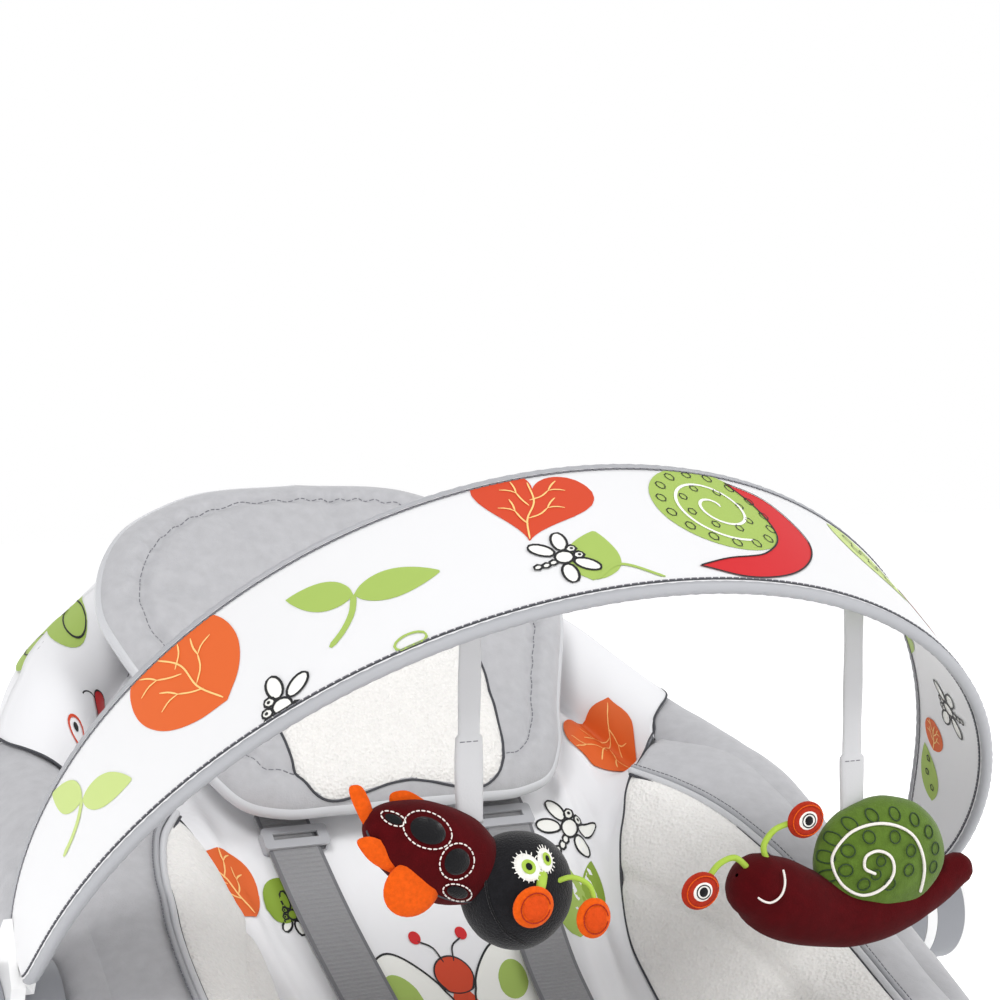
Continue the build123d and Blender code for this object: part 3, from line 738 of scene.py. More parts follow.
def panel_profile(y):
    """Half a cross-section of the panel at y, from the middle to its edge, as (x, y, z) points."""
    zc = float(PANEL_Z(y))
    middle = np.array([0, y, zc])
    if y <= 113:
        edge = np.array([float(SEAM_X(y)), y, float(SEAM_Z(y)) - 1.0])
        rise = edge[2] - zc
        wall = 6 + 0.42 * rise
        line = [middle, (edge[0] * 0.4, y, zc + 0.4), (edge[0] - wall - 8, y, zc + 1.0 + 0.02 * rise),
                (edge[0] - wall * 0.55, y, zc + 0.28 * rise),
                (edge[0] - 0.18 * wall, y, zc + 0.7 * rise), edge]
    elif y < 160:
        edge = HEAD_EDGE(y)
        rise = edge[2] - zc
        low = np.array([edge[0] - 30 - 0.1 * (y - 113), y, zc + 3])
        line = [middle, (60, y, zc + 0.5), low * [0.8, 1, 1] - [0, 0, 1.5], low,
                0.45 * low + 0.55 * edge + [4, 0, -3], edge]
    else:
        low = on_roll(y, -12.0, 2.0)
        line = [middle, (60, y, zc + 1), (low[0] * 0.66, y, zc + 1.5),
                (low[0] - 14, 0.5 * (low[1] + y), 0.62 * zc + 0.38 * low[2]), low]
        line += [on_roll(y, -12 + (float(EDGE_ANGLE(y)) + 12) * k, 2.0) for k in (0.2, 0.4, 0.6, 0.8, 1.0)]
    return resample(smooth_line(line, 1.5), count=COLS)


rows_y = np.r_[np.arange(302, 113, -3.0), np.arange(113, 56, -2.0), np.arange(56, -298, -4.0)]
half_rows = np.array([panel_profile(y) for y in rows_y])
for _ in range(3):               # evens out the change of section beside the head
    inner_rows = (half_rows[:-2] + 2 * half_rows[1:-1] + half_rows[2:]) / 4
    keep_edge = half_rows[1:-1, -1].copy()
    half_rows[1:-1] = inner_rows
    half_rows[1:-1, -1] = keep_edge
folds = np.zeros(half_rows.shape[:2])
# Each long fold: its x, the y of its ends, its width and its height
FOLDS = [(104, 190, 20, 5, 2.6), (118, 170, 84, 5, 2.4), (92, 150, -60, 6, 1.7), (70, 90, -60, 8, 1.2),
         (130, 215, 130, 5, 1.8), (82, 40, -200, 7, 1.0)]
for x0, y_top, y_low, width, height in FOLDS:
    y = half_rows[..., 1]
    drift = x0 - 0.16 * np.clip(120 - y, -60, 120) + 2.5 * np.sin(y / 31.0 + x0)
    fade = smoothstep((y - y_low) / 40) * smoothstep((y_top - y) / 40)
    folds += 1.7 * height * fade * bell(half_rows[..., 0], drift, width)


STRAP_X = 63                 # the panel lies flat below each shoulder strap


def sheet_with_folds(rows, sign):
    full = np.array(rows)
    full[..., 0] *= sign
    folds_here = folds + 1.2 * wobble(full * [1, 0.35, 0.35], 24.0, 5.0)
    beside = np.abs(rows[..., 0] - STRAP_X)
    under_strap = smoothstep((30 - beside) / 10) * smoothstep((rows[..., 1] - 80) / 15)
    folds_here = folds_here * (1 - under_strap) - 0.8 * under_strap
    du = unit(np.gradient(full, axis=1))
    dv = unit(np.gradient(full, axis=0))
    n = unit(np.cross(du, dv)) * (1 if sign > 0 else -1)
    n *= np.sign(n[:, :1, 2:3] + 1e-9)
    rim = smoothstep(np.arange(full.shape[1])[::-1] / 7.0)
    return full + n * (folds_here * rim)[..., None], n


right_top, right_n = sheet_with_folds(half_rows, 1)
left_top, left_n = sheet_with_folds(half_rows, -1)
panel_top = np.concatenate([left_top[:, ::-1], right_top[:, 1:]], 1)
panel_n = np.concatenate([left_n[:, ::-1], right_n[:, 1:]], 1)
MID = COLS - 1
LAST = 2 * COLS - 2
panel_n[:, MID] = unit(left_n[:, 0] + right_n[:, 0])
panel_top[:, MID, 2] = (left_top[:, 0, 2] + right_top[:, 0, 2]) / 2
PAD = 12.0
columns = np.arange(LAST + 1)
depth = PAD * smoothstep((np.minimum(columns, LAST - columns) - 8) / 12.0)[None, :, None] + 1.0
panel_low = panel_top - panel_n * depth
panel = Build()
panel.grid(panel_top, 0)
panel.grid(panel_low, 1)
for column in (0, LAST):
    panel.grid(np.stack([panel_top[:, column], panel_low[:, column]], 1), 1)
for end in (0, -1):
    panel.grid(np.stack([panel_top[end], panel_low[end]], 0), 1)
for sign in (1, -1):
    edge_line = [HEAD_EDGE(y) for y in (114, 126, 143, 158)]
    edge_line += [on_roll(y, float(EDGE_ANGLE(y)), 1.2) for y in (166, 174, 181, 190, 198, 205)]
    # A dark cord along the panel's edge over the roll: painted shade in the gap at that edge
    panel.tube(smooth_line(edge_line, 2.0) * [sign, 1, 1] + [0, 0, 0.4], 0.75, 2 + len(INKS), 6)

panel_steps = np.linalg.norm(np.diff(panel_top, axis=1), axis=2)
PANEL_RUN = np.concatenate([np.zeros((len(rows_y), 1)), np.cumsum(panel_steps, 1)], 1)
PANEL_RUN -= PANEL_RUN[:, MID:MID + 1]


def on_panel(a, b, lift):
    """The panel's surface: b is its row's y, a the distance from the middle along the row."""
    a, b = np.asarray(a, float), np.asarray(b, float)
    row = np.interp(-b, -rows_y, np.arange(len(rows_y)))
    i = np.clip(row.astype(int), 0, len(rows_y) - 2)
    f = row - i
    out = np.empty(a.shape + (3,))
    normal = np.empty(a.shape + (3,))
    for k in range(a.size):
        ends = []
        for r in (i[k], i[k] + 1):
            c = np.interp(a[k], PANEL_RUN[r], columns)
            j = min(int(c), LAST - 1)
            g = c - j
            ends.append(panel_top[r, j] * (1 - g) + panel_top[r, j + 1] * g)
        out[k] = ends[0] * (1 - f[k]) + ends[1] * f[k]
        normal[k] = panel_n[i[k], min(int(c), LAST)]
    return out + normal * np.broadcast_to(np.asarray(lift, float), a.shape)[..., None]


motifs = Print(panel, on_panel, ink_slots(2))
motifs.leaf((189, 216), 226, 66, "orange", lift=0.9)
motifs.shape(moved(oval(15, 15), (-186, 284)), "green", 0.5)
motifs.ring(moved(oval(8, 9), (-180, 284)), 1.0, "black", 0.8)
motifs.shape(moved(oval(13, 8), (-155, 249)), "red", 0.6)
motifs.ring(moved(oval(13, 8), (-155, 249)), 0.9, "black", 0.8)
motifs.ring(moved(oval(6.5, 6), (-186, 222)), 1.4, "deep", 0.5)
motifs.shape(moved(oval(2, 2, 14), (-187, 223)), "black", 0.5)
motifs.bug((104, 127), 45, 42)
motifs.shape(moved(teardrop(42, 20), (82, 72), 75), "green")
motifs.shape(moved(teardrop(30, 15), (96, 80), 62), "moss", 0.27)
motifs.leaf((-103, 98), 112, 40, "orange", lift=0.9)
motifs.shape(moved(teardrop(30, 20), (-92, 106), 20), "moss", 0.5)
motifs.bug((-76, 104), 165, 24)
for sign in (-1, 1):
    wing = closed(np.array([(6, 36), (16, 66), (34, 78), (50, 66), (48, 40), (24, 26)]) * [sign, 1])
    motifs.shape(wing, "white", 0.3)
    motifs.ring(wing, 1.1, "black")
    motifs.shape(moved(oval(12, 8), (32 * sign, 56), 60 * sign), "green", 0.36)
    motifs.line(smooth_line([(3 * sign, 70), (6 * sign, 78), (13 * sign, 82)], 1.0), 0.9, "black", 0.5)
    motifs.shape(moved(oval(3.4, 3.4, 18), (14 * sign, 84)), "red", 0.5)
motifs.shape(moved(oval(8, 17), (0, 40)), "deep", 0.42)
motifs.shape(moved(oval(11, 10), (0, 63)), "deep", 0.44)
motifs.ring(moved(oval(11, 10), (0, 63)), 0.9, "black", 0.5)
motifs.leaf((-26, -70), 100, 40)
motifs.sprout((34, -120), 20, 44)
motifs.swirl((-20, -170), 46)
motifs.bug((30, -215), 30, 36)
motifs.leaf((-40, -250), 20, 36, "deep")
motifs.pod((20, -262), -10, 40, "pale")
panel = panel.object("printed_panel", [PRINT, LINING] + INKS + [SEAM_SHADE])
blend_cover(panel)
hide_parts("seat_panel", "back_panel", "head_panel")

# Terry wings: a puffed pad from the seam to the piping, with one curved sewn channel
WING_ROWS, WING_COLS = 150, 36
foot_end = [(112, -250, 156), (128, -256, 159), (146, -250, 166)]
E_IN = resample(smooth_line(INNER_SEAM + foot_end[:2], 2.0), count=WING_ROWS)
E_OUT = resample(smooth_line(PIPING + foot_end[:0:-1], 2.0), count=WING_ROWS)
a = np.linspace(0, 1, WING_COLS)
flat = ruled(E_IN, E_OUT, a)
normal = upward_normals(flat)
normal[0], normal[-1] = normal[2], normal[-3]
width = np.linalg.norm(E_OUT - E_IN, axis=1)
full = np.clip(width / 75, 0, 1)[:, None]
crown = 15.0 * full * ((4 * a * (1 - a))[None] ** 0.55)


def on_wing_flat(y, share):
    """A point of the wing's flat middle sheet at its inner seam's y."""
    row = int(np.argmin(np.abs(E_IN[:, 1] - y)))
    return E_IN[row] * (1 - share) + E_OUT[row] * share


# The sewn channel, as (y, share of the wing's width), with its depth
CHANNEL_DEPTH, CHANNEL_WIDTH = 4.6, 4.0
CHANNEL = [(86, 0.0), (68, 0.3), (40, 0.52), (5, 0.62), (-60, 0.62), (-150, 0.6), (-225, 0.55)]
channel = smooth_line([on_wing_flat(y, share) for y, share in CHANNEL], 2.0)
gap_to = np.linalg.norm(flat[..., None, :] - channel, axis=-1).min(-1)
crown -= CHANNEL_DEPTH * bell(gap_to, 0, CHANNEL_WIDTH) * full
crown += (1.4 * wobble(flat, 26.0, 1.0) + 0.7 * wobble(flat, 9.0, 4.0)) * (4 * a * (1 - a))[None]
wing_top = flat + normal * crown[..., None]
b = np.linspace(1, 0, 12)
low = ruled(E_IN, E_OUT, b)
low_n = normal[:, [int(round(k * (WING_COLS - 1))) for k in b]]
sag = (9 * np.sin(np.pi * (0.04 + 0.92 * b)) ** 0.6)[None] * full
wing_low = low - low_n * sag[..., None]
wing_grid = np.concatenate([wing_top, wing_low], 1)
for name, sign in (("right", 1), ("left", -1)):
    wing = Build()
    wing.grid(wing_grid * [sign, 1, 1], 0, wrap=True)
    wing = wing.object(f"terry_wing_{name}", [TERRY])
    blend_cover(wing)
    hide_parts(f"seat_wing_{name}", f"back_wing_{name}")
    piping = Build()
    outward = unit(flange[:, 3] - flange[:, 0])
    line = flange_in + np.array([0, 0, 1.6])
    piping.tube((line - outward * 0.6) * [sign, 1, 1], 2.1, 0, 10)
    # A darker satin cord towards the velour: painted shade in the gap beside the piping
    piping.tube((line + outward * 3.3 + [0, 0, 0.3]) * [sign, 1, 1], 1.5, 1, 8)
    # Dark cords in the crease towards the terry and along the terry's inner seam: painted shade
    piping.tube((line - outward * 3.2 + [0, 0, -0.7]) * [sign, 1, 1], 0.8, 2, 6)
    piping.tube((E_IN + [0, 0, 0.2]) * [sign, 1, 1], 1.0, 2, 6)
    piping.stitches((line + outward * 5.4 + [0, 0, 0.9]) * [sign, 1, 1], 3, 2.0, 1.4, 0.3)
    piping = piping.object(f"wing_piping_{name}", [SATIN, SATIN_SHADED, SEAM_SHADE, THREAD])
    blend_cover(piping)


# ---- Head cushion ----
CUSHION_ANGLE = math.radians(44.2)
CU = np.array([1.0, 0, 0])
CV = np.array([0, math.cos(CUSHION_ANGLE), math.sin(CUSHION_ANGLE)])
CN = np.array([0, -math.sin(CUSHION_ANGLE), math.cos(CUSHION_ANGLE)])
CUSHION_AT = np.array([0, 137, 281.0])
CUSHION_RIGHT = [(0, 5), (45, 4.5), (74, 5.5), (92, 12), (106, 31), (117, 62), (129, 92), (140, 120),
                 (146, 144), (141, 174), (121, 209), (76, 238), (0, 247)]
outline_right = smooth_line(CUSHION_RIGHT, 2.0)
OUTLINE = resample(np.vstack([outline_right, (outline_right * [-1, 1])[::-1][1:]]), count=301)[:-1]
CENTRE = np.array([0.0, 122.0])
THICK = 37.0
GROOVE_AT, GROOVE_DEPTH = 20, 3.6    # the sewn groove's distance in from the rim
REACH = math.hypot(130.0 * 0.72, 118.0 * 0.72)    # from the centre to the rim, on average


def on_cushion_plane(u, v):
    return CUSHION_AT + u[..., None] * CU + v[..., None] * CV


def cushion_base(u, v):
    """The middle sheet's height above the cushion's plane."""
    return 20 + 5 * smoothstep((np.abs(u) - 88) / 60) * smoothstep((v - 50) / 70)


def cushion_height(u, v, t):
    """Height above the middle sheet. t is 0 at the centre and 1 at the rim."""
    away = (1 - t) * REACH
    body = THICK / 2 * (1 - t ** 5) ** 0.5
    groove = GROOVE_DEPTH * bell(away, GROOVE_AT, 3.2) * smoothstep((v - 14) / 20)
    swell = 2.4 * bell(away, GROOVE_AT / 2, 7.0)
    angle = np.arctan2(v - CENTRE[1], u)
    gathers = np.sin(angle * 46 + 3 * np.sin(angle * 5)) * 1.5 * bell(away, 17, 6.0)
    pulls = np.maximum(0, np.sin(angle * 9 + 1.3)) ** 6 * 3.0 * bell(away, 34, 16.0)
    return body - groove + swell * 0.5 + gathers - pulls


rho = 1 - (1 - np.linspace(0, 1, 56)) ** 1.35
uv = CENTRE + rho[:, None, None] * (OUTLINE - CENTRE)
u, v = uv[..., 0], uv[..., 1]
t = np.broadcast_to(rho[:, None], u.shape)
front_h = cushion_base(u, v) + cushion_height(u, v, t)
flat_front = on_cushion_plane(u, v)
front_h = front_h + 1.2 * wobble(flat_front, 30.0, 7.0) * (1 - t ** 4)
front = flat_front + front_h[..., None] * CN
back_h = cushion_base(u, v) - 0.72 * (THICK / 2) * (1 - t ** 5) ** 0.5
back = flat_front + back_h[..., None] * CN
cushion = Build()
cushion.grid(np.concatenate([front, back[::-1][1:]]), 0, wrap=True)


def on_cushion(a, b, lift):
    """The cushion's front, over plane coordinates a (right) and b (up)."""
    a, b = np.asarray(a, float), np.asarray(b, float)
    d = np.stack([a, b], -1) - CENTRE
    angles = np.arctan2(OUTLINE[:, 1] - CENTRE[1], OUTLINE[:, 0] - CENTRE[0])
    order = np.argsort(angles)
    reach = np.interp(np.arctan2(d[..., 1], d[..., 0]), angles[order],
                      np.linalg.norm(OUTLINE - CENTRE, axis=1)[order], period=2 * np.pi)
    t = np.clip(np.hypot(d[..., 0], d[..., 1]) / reach, 0, 1)
    h = cushion_base(a, b) + cushion_height(a, b, t)
    p = on_cushion_plane(a, b)
    h = h + 1.2 * wobble(p, 30.0, 7.0) * (1 - t ** 4)
    return p + (h + np.asarray(lift))[..., None] * CN


CENTRE_RIGHT = [(0, 13), (58, 13.5), (61.5, 19), (66, 44), (69, 72), (66, 110), (52, 138), (0, 150)]
centre_right = smooth_line(CENTRE_RIGHT, 3.0)
centre_outline = np.vstack([centre_right, (centre_right * [-1, 1])[::-1][1:-1]])
cushion.patch(centre_outline, on_cushion, 1, 4.0, -0.6, puff=3.4, rim=9.0)
# A dark cord round the terry centre: painted shade in the seam's groove
seam_line = on_cushion(centre_outline[:, 0], centre_outline[:, 1], 0.1)
cushion.tube(seam_line, 0.8, 3, 6, closed=True, up=CN)
rim_uv = CENTRE + 0.985 * (OUTLINE - CENTRE)
rim = on_cushion_plane(*rim_uv.T) + cushion_base(*rim_uv.T)[:, None] * CN
cushion.tube(rim, 4.0, 2, 14, closed=True, up=CN)
stitch_uv = CENTRE + 0.85 * (OUTLINE - CENTRE)
stitch_uv = stitch_uv[stitch_uv[:, 1] > 22]
widest_gap = int(np.argmax(np.linalg.norm(np.diff(stitch_uv, axis=0), axis=1)))
stitch_uv = np.roll(stitch_uv, -widest_gap - 1, 0)
cushion.stitches(on_cushion(stitch_uv[:, 0], stitch_uv[:, 1], 0.15), 4, 2.6, 1.6, 0.38, up=CN)
cushion = cushion.object("head_cushion_cover", [VELOUR, TERRY, SATIN, SEAM_SHADE, THREAD])
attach(cushion, "backrest")
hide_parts("head_cushion")


# ---- Harness ----


WEB_T = 1.6


def webbing(line, width, normals, name):
    """Flat ribbed webbing along a line, with woven edges."""
    line = np.asarray(line, float)
    tangent = unit(np.gradient(line, axis=0))
    across = unit(np.cross(tangent, normals))
    normals = np.cross(across, tangent)
    a = np.array([-1, -0.93, -0.86, -0.84, -0.5, 0, 0.5, 0.84, 0.86, 0.93, 1])
    ribs = 0.16 * (np.arange(len(line)) % 2)[:, None] * (np.abs(a) < 0.85)[None]
    top = line[:, None] + across[:, None] * (a * width / 2)[None, :, None]
    up = top + normals[:, None] * (WEB_T / 2 - 0.25 * (np.abs(a) > 0.99) + ribs)[..., None]
    down = top - normals[:, None] * (WEB_T / 2)
    b = Build()
    sides = np.concatenate([up, down[:, ::-1]], 1)
    b.grid(sides, 0, wrap=True, column_slot=lambda i, j: 1 if j in (0, 1, 8, 9) else 0)
    for end in (sides[0], sides[-1]):
        b.fan(end, end.mean(0), 1)
    return b.object(name, [WEBBING, WEB_EDGE])


WEB_STEP = 0.62              # from one rib of the weave to the next
SHOULDER_WIDTH = 30.0
WAIST_WIDTH = 25.0

# Shoulder, waist and crotch straps
strap_y = np.arange(150, -40, -3.0)
strap_x = hermite([160, 137, 100, 55, 20, -20, -45], [66.5, 66, 61.5, 55, 52, 46, 40])(strap_y)
strap_lift = 3.6 + 1.2 * np.sin((strap_y - 30) / 40.0)
strap = np.stack([strap_x, strap_y, PANEL_Z(strap_y) + 3.4 + 0.4 * strap_lift], 1)
slope = np.gradient(strap[:, 2], strap[:, 1])
strap_normal = unit(np.stack([np.zeros_like(slope), -slope, np.ones_like(slope)], 1))
strap = strap + strap_normal * 0.6
strap = np.vstack([strap, [(38, -48, 171.2), (37.4, -54, 170.6)]])
dense = resample(strap, WEB_STEP)
order = np.argsort(strap[:, 1])
all_normals = np.r_[strap_normal, [(0, 0, 1), (0, 0, 1)]][order]
dense_n = unit(np.stack([np.interp(dense[:, 1], strap[order, 1], all_normals[:, k]) for k in range(3)], 1))
waist = smooth_line([(39, -64, 171.0), (60, -58, 171.4), (86, -51, 173), (102, -47, 176.5)], 1.0)
waist = resample(waist, WEB_STEP)
waist_n = np.tile([-0.08, 0.0, 1.0], (len(waist), 1))
for name, sign in (("right", 1), ("left", -1)):
    piece = webbing(dense * [sign, 1, 1], SHOULDER_WIDTH, dense_n, f"shoulder_webbing_{name}")
    blend_cover(piece)
    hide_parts(f"shoulder_strap_{name}")
    piece = webbing(waist * [sign, 1, 1], WAIST_WIDTH, waist_n * [sign, 1, 1], f"waist_webbing_{name}")
    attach(piece, "seat")
    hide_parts(f"waist_strap_{name}")
crotch = resample([(0, -146, 163.4), (0, -126, 165.0), (0, -96, 167.6), (0, -90, 168.6)], WEB_STEP)
piece = webbing(crotch, WAIST_WIDTH, np.tile([0, 0.0, 1.0], (len(crotch), 1)), "crotch_webbing")
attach(piece, "seat")
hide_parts("crotch_strap")

# ---- Toy arch ----
LEAN = math.radians(33.2)
HALF_SPAN, RISE, DROP = 250.0, 233.0, 45.0
ARCH_AT = HUB + DROP * np.array([0, -math.sin(LEAN), math.cos(LEAN)])
AV = np.array([0, -math.sin(LEAN), math.cos(LEAN)])
AW = np.array([0, math.cos(LEAN), math.sin(LEAN)])
BAND_T = 4.4
arch_t = np.linspace(0, np.pi, 2001)
arch_x, arch_v = HALF_SPAN * np.cos(arch_t), RISE * np.sin(arch_t)
arch_s = np.r_[0, np.cumsum(np.hypot(np.diff(arch_x), np.diff(arch_v)))]
HALF_LENGTH = arch_s[-1] / 2


def half_band(t):
    return 9.2 + 36.8 * np.clip(np.sin(t), 0, 1) ** 0.36


def band_point(t, w, out):
    """The band's surface: w is across it from front to back, out is away from its middle sheet."""
    t, w, out = np.broadcast_arrays(*[np.asarray(q, float) for q in (t, w, out)])
    c, s = np.cos(t), np.sin(t)
    n = unit(np.stack([c / HALF_SPAN, s / RISE], -1))
    x = HALF_SPAN * c + out * n[..., 0]
    v = RISE * s + out * n[..., 1]
    return ARCH_AT + x[..., None] * np.array([1.0, 0, 0]) + v[..., None] * AV + w[..., None] * AW


def crown_at(t, w):
    """The padded cover is a little fuller in the middle of its width."""
    full = half_band(t)
    return 0.9 * np.clip(1 - (np.asarray(w) / full) ** 2, 0, 1) ** 0.7


def on_band(a, b, lift, side=1):
    """a runs along the band from its top to the right, b across it from front to back."""
    t = np.interp(HALF_LENGTH - np.asarray(a, float), arch_s, arch_t)
    w = np.asarray(b, float)
    return band_point(t, w, side * (BAND_T / 2 + crown_at(t, w) + np.asarray(lift)))


def on_band_inside(a, b, lift):
    return on_band(a, b, lift, -1)


BINDING = 5.2                # the satin binding's width
band = Build()
ts = np.interp(np.linspace(3, 2 * HALF_LENGTH - 3, 260), arch_s, arch_t)    # along the band
k = np.linspace(-1, 1, 17)
inner_half = (half_band(ts) - BINDING * 0.55)[:, None]
w = inner_half * k
outside = band_point(ts[:, None], w, BAND_T / 2 + crown_at(ts[:, None], w))
inside = band_point(ts[:, None], w, -BAND_T / 2 - crown_at(ts[:, None], w))
band.grid(np.concatenate([outside, inside[:, ::-1]], 1), 0, wrap=True)
a = around(14)
for sign in (-1, 1):
    pucker = 1 + 0.05 * np.sin(np.arange(len(ts)) * 2.4)[:, None]
    centre = sign * (half_band(ts) - BINDING / 2)[:, None]
    edge = band_point(ts[:, None], centre + BINDING / 2 * np.cos(a) * pucker, 3.0 * np.sin(a) * pucker)
    caps = [edge[0].mean(0) + (edge[0] - edge[0].mean(0)) * q for q in (0.02, 0.6)]
    tail = [edge[-1].mean(0) + (edge[-1] - edge[-1].mean(0)) * q for q in (0.6, 0.02)]
    # The binding is drawn in the darker satin: painted shade
    band.grid(np.concatenate([caps, edge, tail]), 1, wrap=True)
    stitch_w = sign * (half_band(ts) - BINDING - 0.5)
    for side in (1, -1):
        line = band_point(ts, stitch_w, side * (BAND_T / 2 + 0.75))
        band.stitches(line, 2, 2.2, 1.5, 0.3, up=AV)
        # A dark cord where the binding meets the band: painted shade in the seam's groove
        seam = band_point(ts, sign * (half_band(ts) - BINDING + 0.1), side * (BAND_T / 2 + 0.35))
        band.tube(seam, 0.42, 3, 5)


BINDING_ROOM = 5.6           # motifs stay this far inside the band's edge


def clipped(outline):
    """Keeps a motif within the bindings."""
    outline = np.array(outline, float)
    t = np.interp(HALF_LENGTH - outline[:, 0], arch_s, arch_t)
    limit = half_band(t) - BINDING_ROOM
    outline[:, 1] = np.clip(outline[:, 1], -limit, limit)
    return outline


class BandPrint(Print):
    def shape(self, outline, ink_name, lift=0.25):
        ring = looped(outline)
        count = 14 + int(arc_lengths(ring)[-1] / 2.5)
        super().shape(clipped(resample(ring, count=count)[:-1]), ink_name, lift)

    def line(self, points, width, ink_name, lift=0.45):
        points = np.asarray(points)
        t = np.interp(HALF_LENGTH - points[:, 0], arch_s, arch_t)
        within = np.abs(points[:, 1]) < half_band(t) - BINDING_ROOM
        if within.any():
            super().line(points[within], width, ink_name, lift)


outer_print = BandPrint(band, on_band, ink_slots(4))
outer_print.sprout((-287, 6), -48, 34, "pale")
outer_print.leaf((-204, -13), 113, 66, "orange")
outer_print.bug((-184, -34), 150, 38)
outer_print.sprout((-138, 2), -28, 38)
outer_print.ring(moved(oval(7, 4), (-126, -36)), 1.2, "green")
outer_print.leaf((-60, -3), 66, 50, "deep", lobed=True)
outer_print.shape(moved(teardrop(34, 24), (-44, -34), 66), "green")
outer_print.line(smooth_line([(-42, -34), (-30, -27), (-12, -38)], 2.0), 1.6, "green")
outer_print.bug((-50, -17), 20, 36)
outer_print.swirl((40, 12), 66)
crescent = np.vstack([smooth_line([(8, -32), (28, -39), (60, -32), (88, 2), (78, 28), (58, 36)], 3.0),
                      smooth_line([(58, 36), (66, 20), (66, -4), (50, -20), (24, -27), (8, -32)], 3.0)[1:-1]])
outer_print.shape(crescent, "red", 0.32)
outer_print.ring(crescent, 0.8, "black", 0.6)
outer_print.pod((128, 34), -40, 56, "pale", 6)
outer_print.leaf((214, -4), 150, 40, "orange")
outer_print.bug((262, 2), 80, 30)
outer_print.sprout((306, 2), 0, 30)
inner_print = BandPrint(band, on_band_inside, ink_slots(4))
inner_print.shape(moved(teardrop(34, 8), (232, 24), 30), "green")
inner_print.shape(moved(teardrop(30, 7), (236, 30), 60), "green", 0.28)
inner_print.bug((262, -4), 80, 38)
inner_print.pod((344, 4), 150, 34, "green", 3)
inner_print.leaf((312, 12), 175, 22, "orange")
inner_print.leaf((-60, 10), 60, 48, "deep")
inner_print.sprout((20, 0), 10, 38)
inner_print.swirl((120, 2), 56)
inner_print.leaf((-200, 0), 140, 44)
inner_print.bug((-130, 0), 20, 38)
inner_print.sprout((-270, 0), 0, 34)
band = band.object("arch_band_cover", [BAND, SATIN_SHADED, THREAD, SEAM_SHADE] + INKS)
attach(band, "toy_arch")
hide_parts("arch_cover")

# ---- Toys ----


FRONT = (0, -1, 0)           # towards the foot end


def tape(line, width, name, patch_rows):
    """A satin tape down to a toy, with its sewn lower end doubled."""
    line = resample(line, 1.5)
    count = len(line)
    width = width * (1 + 0.03 * np.sin(np.arange(count) / 4.0))
    width[-patch_rows:] *= 1.22
    sway = 0.5 * np.sin(np.arange(count) / 11.0)
    c, s = np.cos(around(16)), np.sin(around(16))
    flat = np.stack([np.sign(c) * np.abs(c) ** 0.5, np.sign(s) * np.abs(s) ** 0.7], 1)
    thick = np.full(count, 1.2)
    thick[-patch_rows:] = 1.9
    p = np.empty((count, 16, 3))
    p[..., 0] = line[:, :1] + sway[:, None] + flat[None, :, 0] * width[:, None] / 2
    p[..., 1] = line[:, 1:2] + flat[None, :, 1] * thick[:, None] + 0.8 * sway[:, None]
    p[..., 2] = line[:, 2:3]
    b = Build()
    b.grid(p, 0, wrap=True)
    b.fan(p[0], p[0].mean(0))
    b.fan(p[-1], p[-1].mean(0))
    top = line[-patch_rows]
    stitch = [top + [-width[0] / 2, -2.2, -1.5], top + [width[0] / 2, -2.2, -1.5]]
    b.stitches(stitch, 1, 1.6, 1.2, 0.25)
    return b.object(name, [TAPE, THREAD])


# Tapes
lady_at, snail_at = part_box("ladybird_strap"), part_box("snail_strap")
for node, body, rows in (("ladybird_strap", "ladybird", 26), ("snail_strap", "snail", 20)):
    low, high = (np.array(c) * 1000 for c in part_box(node))
    x, y = (low[0] + high[0]) / 2, (low[1] + high[1]) / 2
    piece = tape([(x, y, high[2] + 1.5), (x, y, low[2] - 9)], 10.6, f"{body}_tape", rows)
    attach(piece, body)
    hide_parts(node)

LADY_Y = float((lady_at[0].y + lady_at[1].y) / 2 * 1000)
SNAIL_Y = float((snail_at[0].y + snail_at[1].y) / 2 * 1000)


def ellipsoid_place(centre, axes, turn=0.0, taper=0.0):
    """Lays flat shapes on an ellipsoid's front, seen along +Y. taper widens it along its length."""
    c, s = math.cos(math.radians(turn)), math.sin(math.radians(turn))

    def place(a, b, lift):
        a, b = np.asarray(a, float), np.asarray(b, float)
        da, db = a - centre[0], b - centre[2]
        u, v = da * c + db * s, -da * s + db * c
        wide = 1 + taper * np.clip(u / axes[0], -1, 1)
        v = v / wide
        r = np.sqrt((u / axes[0]) ** 2 + (v / axes[2]) ** 2)
        bend = np.sqrt(np.clip(1 - np.minimum(r, 0.995) ** 2, 0, 1))
        y = centre[1] - axes[1] * wide * bend
        n = unit(np.stack([(u * c / axes[0] ** 2 - v * s / axes[2] ** 2), -bend / axes[1],
                           (u * s / axes[0] ** 2 + v * c / axes[2] ** 2)], -1))
        return np.stack([a, y, b], -1) + n * np.broadcast_to(np.asarray(lift, float), a.shape)[..., None]

    return place


STITCH_RING = 1.36           # a felt spot's stitches run round it, this much larger


def felt(build, outline, place, slot, thick, stitched=None):
    """A felt shape with a rounded edge, sewn on a surface."""
    build.patch(outline, place, slot, 3.0, 0.05, puff=thick, rim=1.4)
    if stitched is not None:
        centre = outline.mean(0)
        line = centre + (looped(outline) - centre) * STITCH_RING
        build.stitches(place(line[:, 0], line[:, 1], 0.3), stitched, 1.5, 1.1, 0.34, up=FRONT)


def upright(y):
    """Lays flat shapes on the upright plane at y, lifted towards the foot end."""
    def place(a, b, lift):
        return np.stack([a, np.full_like(a, y) - np.asarray(lift), b], -1)
    return place


